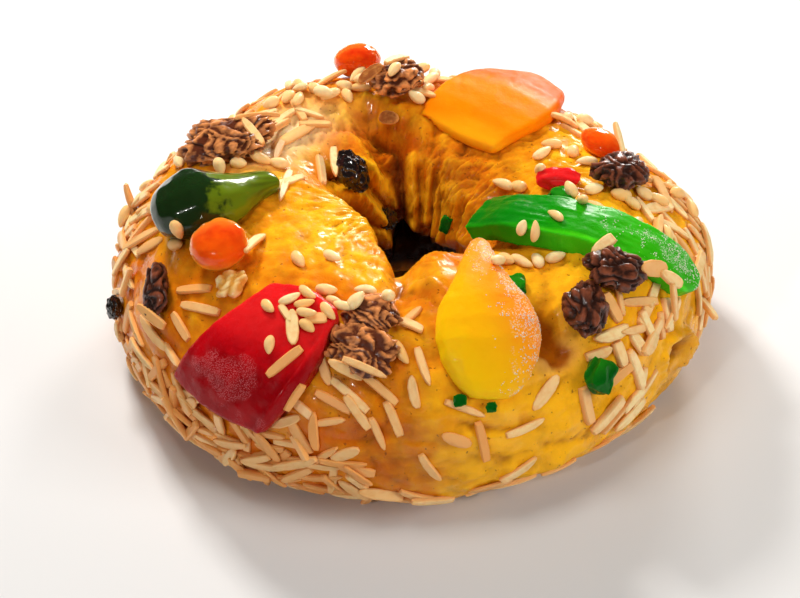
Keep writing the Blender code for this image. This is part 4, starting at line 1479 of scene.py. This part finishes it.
class RosconColours(bpy.types.PropertyGroup):
    """Colours of the ring's pieces."""

    crust_orange: colour_property("Crust", "Main colour of the glazed crust", (0.65, 0.120, 0.002))
    crust_yellow: colour_property("Crust, yellow", "Where the crust is yellower", (1.0, 0.48, 0.012))
    # Also a painted highlight on the dome.
    crust_pale: colour_property("Crust, pale", "Where the crust is hardly browned", (0.93, 0.76, 0.43))
    # Painted shade: the amber of the dough's hollows and folds.
    crust_fold_shade: colour_property("Crust, hollows", "In the folds of the dough", (0.40, 0.10, 0.002))
    # Also painted shade: the painted shade patches and part of the hollows' shade turn brown.
    crust_brown: colour_property("Crust, toasted", "Freckles and toasted places", (0.20, 0.042, 0.006))
    # Painted shade: the near-black colour of the hole's depth.
    crust_hole_shade: colour_property("Crust, deep", "Depth of the hole", (0.02, 0.004, 0.001))
    red: colour_property("Red fruit", "Candied fruit dyed red", (0.66, 0.004, 0.009))
    # Painted shade on the red slab: right of its ridge and on its lower part.
    red_shade: colour_property("Red fruit, thick", "Where the red fruit is thick", (0.33, 0.001, 0.004))
    orange: colour_property("Orange fruit", "Candied orange slab", (0.98, 0.25, 0.001))
    # Painted shade along the far rim of the orange slab.
    orange_rim_shade: colour_property("Orange fruit, rim", "Rim of the orange slab", (0.80, 0.12, 0.002))
    yellow: colour_property("Yellow fruit", "Candied pear slab", (1.0, 0.41, 0.003))
    yellow_deep: colour_property("Yellow fruit, rim", "Where the pear turns orange", (1.0, 0.29, 0.015))
    green: colour_property("Green fruit", "Candied fruit dyed green", (0.004, 0.25, 0.003))
    green_deep: colour_property("Green fruit, thick", "Where the green fruit is thick", (0.002, 0.14, 0.004))
    green_lit: colour_property("Green fruit, thin", "Where light passes the green fruit", (0.07, 0.66, 0.008))
    cherry: colour_property("Cherries", "Candied cherries", (0.94, 0.11, 0.003))
    fig_dark: colour_property("Fig, body", "Dark body of the candied fig", (0.008, 0.026, 0.004))
    fig_light: colour_property("Fig, neck", "Yellow-green neck of the fig", (0.125, 0.19, 0.005))
    sugar: colour_property("Sugar", "Sugar grains on the fruit", (0.94, 0.88, 0.76))
    walnut_light: colour_property("Walnut, crests", "Crests of the walnuts", (0.96, 0.36, 0.11))
    # Partly painted shade in the furrows.
    walnut_dark: colour_property("Walnut, furrows", "Furrows of the walnuts", (0.10, 0.022, 0.008))
    almond: colour_property("Almond", "Cut almond", (1.0, 0.76, 0.38))
    almond_toasted: colour_property("Almond, toasted", "Toasted almond", (0.86, 0.38, 0.10))
    pine_nut: colour_property("Pine nut", "Pine nuts", (1.0, 0.78, 0.42))
    pine_nut_toasted: colour_property("Pine nut, toasted", "Toasted pine nuts", (0.92, 0.50, 0.15))
    raisin: colour_property("Raisin", "Prune and raisins", (0.008, 0.004, 0.003))
    raisin_red: colour_property("Raisin, thin", "Where a raisin is thin", (0.08, 0.010, 0.006))


class RosconSizes(bpy.types.PropertyGroup):
    """Sizes of the ring's small pieces."""

    sliver_length: length_property("Sliver length", "Length of an almond sliver", 0.017)
    sliver_width: length_property("Sliver width", "Width of an almond sliver", 0.0035)
    pine_nut_length: length_property("Pine nut length", "Length of a pine nut", 0.0088)
    pine_nut_width: length_property("Pine nut width", "Width of a pine nut", 0.0049)
    seed: bpy.props.IntProperty(name="Seed", description="Which way the nuts fall", default=7)


class RosconStage(bpy.types.PropertyGroup):
    """Camera and light."""

    camera_distance: length_property("Camera distance", "From the ring's foot to the camera", 0.9)
    camera_height: bpy.props.FloatProperty(
        name="Camera elevation",
        description="Angle of the camera over the floor",
        subtype="ANGLE",
        unit="ROTATION",
        default=math.radians(40.0),
    )
    floor_colour: colour_property("Floor", "Colour of the floor", (0.74, 0.74, 0.74))


# ---- Operators


class ROSCON_OT_dough(bpy.types.Operator):
    """Makes the glazed dough with its folds"""

    bl_idname = "roscon.dough"
    bl_label = "Dough"

    def execute(self, context):
        piece = make_dough()
        hand_over(piece, ["dough_ring"], make_crust_material(context.scene.roscon_colours))
        return {"FINISHED"}


class ROSCON_OT_slabs(bpy.types.Operator):
    """Makes the red, orange, yellow and green slabs of candied fruit"""

    bl_idname = "roscon.slabs"
    bl_label = "Candied slabs"

    def execute(self, context):
        colours = context.scene.roscon_colours
        self.make_red(colours)
        self.make_orange(colours)
        self.make_pear(colours)
        self.make_strip(colours)
        return {"FINISHED"}

    def make_red(self, colours):
        """The red slab: darker right of its ridge and low down as painted shade, lighter at its top as painted
        light, frosted in one place.
        """
        relief = ((14.0, 1.2), (5.0, 0.5), (1.8, 0.16))
        slab = make_slab("fruit_red_slab", "candied_red_slab", voxel=0.6, rounds=3, swell=0.3, relief=relief)
        bearing, roll = angles_of(points_of(slab))
        beyond = bearing - 244.0 - (roll - 25.0) * 0.2
        push(slab, 0.9 * np.exp(-((beyond / 0.9) ** 2)) - np.clip(beyond * 0.5, 0.0, 2.4))
        # Painted shade right of the ridge and on the lower part, painted light at the top.
        low = np.clip((50.0 - roll) / 26.0, 0.0, 0.75)
        tint = np.clip(np.clip(beyond, 0.0, 1.0) + low, 0.0, 1.0) * np.clip((66.0 - roll) / 8.0, 0.2, 1.0)
        frost = np.maximum(patch(bearing, roll, (234, 34), (8, 9)), np.clip((25.0 - roll) / 3.0, 0.0, 0.4))
        paint(slab, frost=frost, tint=tint, lit=np.clip((roll - 46.0) / 20.0, 0.0, 0.6))
        material = make_candied_material(
            "candied_red", colours.red, colours.red_shade, RED_LIT, RED_FROST,
            frost=1.0, grains=2300.0, dull=0.24, shine=0.1, mottled=0.6
        )
        hand_over(slab, ["fruit_red_slab"], material)

    def make_orange(self, colours):
        """The orange slab: lighter along its near edge as painted light, darker along its far rim as painted
        shade.
        """
        relief = ((30.0, 1.2), (7.0, 0.3))
        slab = make_slab(
            "fruit_orange_slab", "candied_orange_slab", voxel=0.7, rounds=8, swell=0.3, relief=relief
        )
        roll = angles_of(points_of(slab))[1]
        # Painted shade on the far rim, painted light on the near edge.
        tint = np.clip((82.0 - roll) / 14.0, 0.0, 1.0)
        paint(slab, tint=tint, lit=np.clip((roll - 103.0) / 10.0, 0.0, 0.9))
        material = make_candied_material(
            "candied_orange", colours.orange, colours.orange_rim_shade, ORANGE_LIT, colours.sugar,
            dull=0.42, shine=0.05
        )
        hand_over(slab, ["fruit_orange_slab"], material)

    def make_pear(self, colours):
        """The pear: yellow at its left and foot, lighter there by painted light, orange and sugared along its
        right side, with a brown tip.
        """
        relief = ((26.0, 1.4), (6.0, 0.5), (2.0, 0.15))
        slab = make_slab(
            "fruit_pear_slab", "candied_pear_slab", voxel=0.7, rounds=9, swell=0.3, relief=relief, slimmed=True
        )
        along, across = spans(points_of(slab), "fruit_pear_slab")
        paint(
            slab,
            frost=np.clip(across * 0.7 + 0.35 + along * 0.2, 0.0, 1.0),
            tint=np.clip(across * 1.2 + along * 0.9 + 0.5, 0.0, 1.0),
            # Painted light at the left and the foot.
            lit=np.clip(-along - 0.1 - across * 0.5, 0.0, 1.0),
        )
        material = make_candied_material(
            "candied_pear", colours.yellow, colours.yellow_deep, PEAR_LIT, colours.sugar,
            frost=0.9, dull=0.4, shine=0.05
        )
        tree = material.node_tree
        socket = tree.nodes["Principled BSDF"].inputs["Base Color"]
        base = socket.links[0].from_socket
        share = times(tree, read_attribute(tree, "tip"), 0.7)
        tree.links.new(blend_colour(tree, share, base, PEAR_TIP), socket)
        set_attribute(slab, "tip", np.clip((along - 0.78) * 6.0, 0.0, 1.0))
        hand_over(slab, ["fruit_pear_slab"], material)

    def make_strip(self, colours):
        """The green strip of melon: light shows through its left end and its lower edge, as painted light."""
        slab = make_strip_body("candied_melon_strip", "fruit_melon_strip")
        points = points_of(slab)
        tops, sideways, outwards = strip_line("fruit_melon_strip")
        index = np.array([((tops - point) ** 2).sum(axis=1).argmin() for point in points])
        away = points - tops[index]
        share = index / (len(tops) - 1.0)
        knots = np.linspace(0.0, 1.0, len(STRIP_WIDTHS))
        side = (away * sideways[index]).sum(axis=1) / (np.interp(share, knots, STRIP_WIDTHS) * MM)
        level = (away * outwards[index]).sum(axis=1) / MM
        # Painted light: the lower edge, the left end and the right half are lighter, as if lit through.
        face = np.clip((side - 0.78) * 7.0, 0.0, 1.0) * np.clip((share - 0.2) * 3.0, 0.15, 1.0)
        end = np.clip((0.02 - share) * 50.0, 0.0, 1.0)
        top = np.clip(1.0 + (level + 1.6) * 0.8, 0.0, 1.0)
        paint(
            slab,
            frost=np.clip(share * 2.6 - 1.2, 0.0, 1.0) * top * np.clip(1.1 - side, 0.0, 1.0),
            tint=np.clip(1.2 - share * 3.6, 0.0, 0.6) * top,
            lit=np.clip(face + end + np.clip((share - 0.35) * 1.4, 0.0, 0.5), 0.0, 1.0),
        )
        material = make_candied_material(
            "candied_melon", colours.green, colours.green_deep, colours.green_lit, colours.sugar,
            frost=0.6, ribs=0.45, dull=0.3, shine=0.1
        )
        hand_over(slab, ["fruit_melon_strip"], material)


class ROSCON_OT_fig(bpy.types.Operator):
    """Makes the candied fig with its dark body and pale neck"""

    bl_idname = "roscon.fig"
    bl_label = "Candied fig"

    def execute(self, context):
        colours = context.scene.roscon_colours
        relief = ((18.0, 0.6), (5.0, 0.25))
        fig = make_slab("fruit_fig", "candied_fig", voxel=0.7, rounds=18, swell=0.5, relief=relief)
        points = points_of(fig)
        spread = points - points.mean(axis=0)
        way = np.linalg.eigh(spread.T @ spread)[1][:, -1]
        reach = spread @ (way * np.sign(way[0]))
        set_attribute(fig, "neck", (reach - reach.min()) / (reach.max() - reach.min()))
        round_neck = np.arctan2(spread[:, 2], spread @ np.cross(way, (0.0, 0.0, 1.0)))
        set_attribute(fig, "stripe", np.sin(round_neck * 9.0) * 0.5 + 0.5)
        material, tree, shader, place = new_material("candied_fig")
        neck = read_attribute(tree, "neck")
        ragged = mottle(tree, place, 170.0, 5.0, 0.2, 0.8)
        share = ramp(tree, plus(tree, neck, times(tree, ragged, 0.22)), 0.52, 0.60)
        stripes = times(tree, read_attribute(tree, "stripe"), ramp(tree, neck, 0.62, 0.8), clamp=True)
        stripes = times(tree, stripes, plus(tree, ragged, 0.35), clamp=True)
        pale = blend_colour(tree, stripes, colours.fig_light, FIG_STRIPE)
        tree.links.new(blend_colour(tree, share, colours.fig_dark, pale), shader.inputs["Base Color"])
        set_shader(shader, Roughness=0.22, Specular_IOR_Level=0.2, Coat_Weight=0.9, Coat_Roughness=0.05)
        set_shader(shader, Coat_IOR=1.35, Subsurface_Weight=0.2, Subsurface_Scale=0.003)
        set_bump(tree, shader, grain(tree, place, 200.0, 900.0, 0.25), 0.3, 0.0006)
        hand_over(fig, ["fruit_fig"], material)
        return {"FINISHED"}


class ROSCON_OT_cherries(bpy.types.Operator):
    """Makes the three candied cherries"""

    bl_idname = "roscon.cherries"
    bl_label = "Candied cherries"

    def execute(self, context):
        colours = context.scene.roscon_colours
        material = make_candied_material(
            "candied_cherry", colours.cherry, CHERRY_DEEP, CHERRY_LIT, colours.sugar,
            glow=0.5, dull=0.06, rim=0.8, shine=1.0, mottled=0.9
        )
        for node in ("cherry_left", "cherry_back", "cherry_right"):
            piece = make_ball("candied_" + node, node, wrinkle=1.7, depth=0.06, swell=0.95, dents=0.04)
            # Painted light: lighter towards the lower part, as if lit through.
            paint(piece, lit=np.clip(0.75 - shares(points_of(piece), 2) * 1.4, 0.0, 0.7))
            hand_over(piece, [node], material)
        return {"FINISHED"}


class ROSCON_OT_bits(bpy.types.Operator):
    """Makes the small bits of red and green candied fruit"""

    bl_idname = "roscon.bits"
    bl_label = "Candied bits"

    def execute(self, context):
        colours = context.scene.roscon_colours
        green = make_candied_material(
            "candied_green_bit", colours.green, GREEN_BIT_DEEP, colours.green_lit, colours.sugar,
            frost=0.2, dull=0.1
        )
        for node in sorted(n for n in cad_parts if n.startswith("fruit_green_")):
            # Bits under the pear and in the hole get their deep colour in full and no light, as painted shade;
            # the others a painted light on their upper part.
            shaded = "foot" in node or "hole" in node
            size = (0.55, 0.6, 0.3) if shaded else (0.94, 0.94, 0.85)
            piece = make_chunk(node.replace("fruit", "candied"), node, size, roundness=0.5)
            lit = np.clip(shares(points_of(piece), 2) - 0.6, 0.0, 0.4)
            paint(piece, frost=0.5, lit=lit * (0.0 if shaded else 0.5), tint=1.0 if shaded else 0.75)
            hand_over(piece, [node], green)
        red = make_candied_material(
            "candied_red_bit", colours.red, RED_BIT_DEEP, RED_BIT_LIT, colours.sugar, frost=0.1
        )
        piece = make_chunk("candied_red_bit", "fruit_red_bit", (1.05, 1.05, 1.05), roundness=0.85)
        paint(piece, frost=0.2, lit=0.2)
        hand_over(piece, ["fruit_red_bit"], red)
        return {"FINISHED"}


class ROSCON_OT_dried_fruit(bpy.types.Operator):
    """Makes the prune and the raisins"""

    bl_idname = "roscon.dried_fruit"
    bl_label = "Dried fruit"

    def execute(self, context):
        material = make_raisin_material("dried_fruit", context.scene.roscon_colours)
        for node, wrinkle in (("prune", 1.9), ("raisin_left", 1.8), ("raisin_hole", 1.8)):
            piece = make_ball("dried_" + node, node, wrinkle, depth=0.42)
            hand_over(piece, [node], material)
        return {"FINISHED"}


class ROSCON_OT_walnuts(bpy.types.Operator):
    """Makes the walnut halves"""

    bl_idname = "roscon.walnuts"
    bl_label = "Walnuts"

    def execute(self, context):
        colours = context.scene.roscon_colours
        tan = make_walnut_material("walnut_tan", colours.walnut_light, colours.walnut_dark)
        brown = make_walnut_material("walnut_brown", *WALNUT_BROWN)
        cream = make_walnut_material("walnut_cream", *WALNUT_CREAM)
        for seed, node in enumerate(sorted(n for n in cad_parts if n.startswith("walnut_"))):
            lobe_size = 6.4 if node == "walnut_pale" else 4.2
            swell = 1.2 if node in SPREAD_WALNUTS else 1.06
            name = node.replace("walnut", "walnut_half")
            piece = make_walnut(name, node, 3.7 + seed * 1.9, lobe_size, swell)
            material = brown if node in BROWN_WALNUTS else cream if node == "walnut_pale" else tan
            hand_over(piece, [node], material)
        return {"FINISHED"}


class ROSCON_OT_nuts(bpy.types.Operator):
    """Lays and strews the almond slivers and the pine nuts"""

    bl_idname = "roscon.nuts"
    bl_label = "Slivers and pine nuts"

    def execute(self, context):
        colours, sizes = context.scene.roscon_colours, context.scene.roscon_sizes
        rng = random.Random(sizes.seed)
        dressed = list(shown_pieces())
        dough = [piece for piece in dressed if piece.name == "dough_crust"]
        ground = Ground(dough, [piece for piece in dressed if piece not in dough])
        cuts = self.model_cuts(
            model_sliver, "sliver_model", sizes.sliver_length, sizes.sliver_width, SLIVER_CUTS
        )
        slivers = Heap()
        lay(slivers, cuts, ground, LAID_SLIVERS, 0.0, rng)
        lay(slivers, cuts, ground, LAID_CHUNKS, 0.0, rng, girth=1.35)
        lay(slivers, cuts, ground, SLIVERS_ON_RED, 0.6 * MM, rng)
        lay(slivers, cuts[2:3], ground, TOASTED_ALMONDS, 0.9 * MM, rng, girth=1.2, toasted=1.8)
        ground.trees["heap"] = slivers.tree()
        strew(slivers, cuts, ground, SLIVER_ZONES, 0.0, rng, 4.0 * MM)
        nuts = self.model_cuts(
            model_pine_nut, "pine_nut_model", sizes.pine_nut_length, sizes.pine_nut_width, PINE_NUT_SHAPES
        )
        ground.trees["pile"] = slivers.tree()
        ground.trees["heap"] = None
        pines = Heap()
        lay(pines, nuts, ground, PINE_NUTS_ON_FRUIT, 1.2 * MM, rng, girth=0.85)
        lay(pines, nuts, ground, LAID_PINE_NUTS, 1.4 * MM, rng)
        ground.trees["heap"] = pines.tree()
        strew(pines, nuts, ground, PINE_NUT_ZONES, 1.4 * MM, rng, 5.0 * MM)
        for model, _ in cuts + nuts:
            bpy.data.objects.remove(model)
        piece = slivers.build("almond_slivers", 40.0)
        material = make_nut_material("cut_almond", colours.almond, colours.almond_toasted, 0.45, 420.0)
        hand_over(piece, [], material)
        piece = pines.build("pine_nuts", ALL_SMOOTH)
        material = make_nut_material("pine_nut", colours.pine_nut, colours.pine_nut_toasted, 0.34, 300.0)
        hand_over(piece, [], material)
        return {"FINISHED"}

    def model_cuts(self, model_one, name, length, width, cuts):
        """Models of several cuts, each with its length in metres."""
        length, width = length / MM, width / MM
        models = []
        for k, (long, wide, *shape) in enumerate(cuts):
            model = model_one(f"{name}_{k}", length * long, width * wide, *shape)
            models.append((model, length * long * MM))
        return models


class ROSCON_OT_sugar(bpy.types.Operator):
    """Sprinkles sugar crystals over the frosted places of the fruit"""

    bl_idname = "roscon.sugar"
    bl_label = "Sugar crystals"

    def execute(self, context):
        rng = random.Random(context.scene.roscon_sizes.seed + 1)
        crystal = start_from(
            bpy.ops.mesh.primitive_ico_sphere_add, "crystal_model", subdivisions=1, radius=0.5 * MM
        )
        set_points(crystal, points_of(crystal) * np.array((1.3, 0.9, 0.8)))
        grains = Heap()
        for name, count in (("candied_pear_slab", 7000), ("candied_melon_strip", 1500)):
            sprinkle(grains, crystal, bpy.data.objects[name], count, rng)
        bpy.data.objects.remove(crystal)
        piece = grains.build("sugar_crystals", 20.0)
        material, tree, shader, _ = new_material("sugar_crystal")
        tone = ramp(tree, read_attribute(tree, "tone"), 0.0, 1.0, 0.1, 0.35)
        tree.links.new(tone, shader.inputs["Roughness"])
        colour = rgba(context.scene.roscon_colours.sugar)
        set_shader(shader, Base_Color=colour, Transmission_Weight=0.25, IOR=1.45)
        hand_over(piece, [], material)
        return {"FINISHED"}


class ROSCON_OT_stage(bpy.types.Operator):
    """Sets the floor, the lights and the camera"""

    bl_idname = "roscon.stage"
    bl_label = "Stage"

    def execute(self, context):
        settings = context.scene.roscon_stage
        floor = start_from(bpy.ops.mesh.primitive_plane_add, "floor", size=6.0)
        material, _, shader, _ = new_material("floor_white")
        set_shader(shader, Base_Color=rgba(settings.floor_colour), Roughness=0.8)
        floor.data.materials.append(material)
        floor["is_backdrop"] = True
        for lamp in LAMPS:
            self.add_light(*lamp)
        world = bpy.data.worlds.new("studio")
        world.use_nodes = True
        background = world.node_tree.nodes["Background"]
        background.inputs["Color"].default_value = (1.0, 1.0, 1.0, 1.0)
        background.inputs["Strength"].default_value = WORLD_LIGHT
        context.scene.world = world
        context.scene.view_settings.view_transform = "Standard"
        data = bpy.data.cameras.new("camera")
        data.lens, data.sensor_width = CAMERA_LENS, CAMERA_SENSOR
        data.shift_x, data.shift_y = CAMERA_SHIFT
        data.clip_start, data.clip_end = CAMERA_CLIP
        camera = bpy.data.objects.new("camera", data)
        context.scene.collection.objects.link(camera)
        rise, away = settings.camera_height, settings.camera_distance
        camera.location = (0.0, -away * math.cos(rise), away * math.sin(rise))
        camera.rotation_euler = (math.pi / 2.0 - rise, 0.0, 0.0)
        context.scene.camera = camera
        return {"FINISHED"}

    def add_light(self, name, place, size, power, colour, mirrored):
        """Adds a square lamp that faces the ring, and is mirrored in what is glossy or isn't."""
        data = bpy.data.lights.new(name, "AREA")
        data.size, data.energy, data.color = size, power, colour
        lamp = bpy.data.objects.new(name, data)
        lamp.location = place
        aim = Vector(LAMP_AIM) - Vector(place)
        lamp.rotation_euler = aim.to_track_quat("-Z", "Y").to_euler()
        lamp.visible_glossy = mirrored
        bpy.context.scene.collection.objects.link(lamp)


OPERATORS = (
    ROSCON_OT_dough,
    ROSCON_OT_slabs,
    ROSCON_OT_fig,
    ROSCON_OT_cherries,
    ROSCON_OT_bits,
    ROSCON_OT_dried_fruit,
    ROSCON_OT_walnuts,
    ROSCON_OT_nuts,
    ROSCON_OT_sugar,
    ROSCON_OT_stage,
)


class ROSCON_PT_panel(bpy.types.Panel):
    """Lists the pieces of the ring and their settings"""

    bl_label = "Roscon de reyes"
    bl_idname = "ROSCON_PT_panel"
    bl_space_type = "VIEW_3D"
    bl_region_type = "UI"
    bl_category = "Roscon"

    def draw(self, context):
        layout = self.layout
        for operator in OPERATORS:
            layout.operator(operator.bl_idname)
        scene = context.scene
        for settings in (scene.roscon_colours, scene.roscon_sizes, scene.roscon_stage):
            box = layout.box()
            for name in settings.bl_rna.properties.keys():
                if name not in ("rna_type", "name"):
                    box.prop(settings, name)


CLASSES = (RosconColours, RosconSizes, RosconStage, *OPERATORS, ROSCON_PT_panel)


def register():
    """Registers the settings, the operators and the panel."""
    for cls in CLASSES:
        bpy.utils.register_class(cls)
    bpy.types.Scene.roscon_colours = bpy.props.PointerProperty(type=RosconColours)
    bpy.types.Scene.roscon_sizes = bpy.props.PointerProperty(type=RosconSizes)
    bpy.types.Scene.roscon_stage = bpy.props.PointerProperty(type=RosconStage)


def unregister():
    """Removes what register added."""
    del bpy.types.Scene.roscon_stage
    del bpy.types.Scene.roscon_sizes
    del bpy.types.Scene.roscon_colours
    for cls in reversed(CLASSES):
        bpy.utils.unregister_class(cls)


def main():
    """Builds the dressed ring on its stage."""
    register()
    for build in SHADER_GROUPS:
        build()
    for operator in OPERATORS:
        group, name = operator.bl_idname.split(".")
        getattr(getattr(bpy.ops, group), name)()


if __name__ == "__main__":
    main()
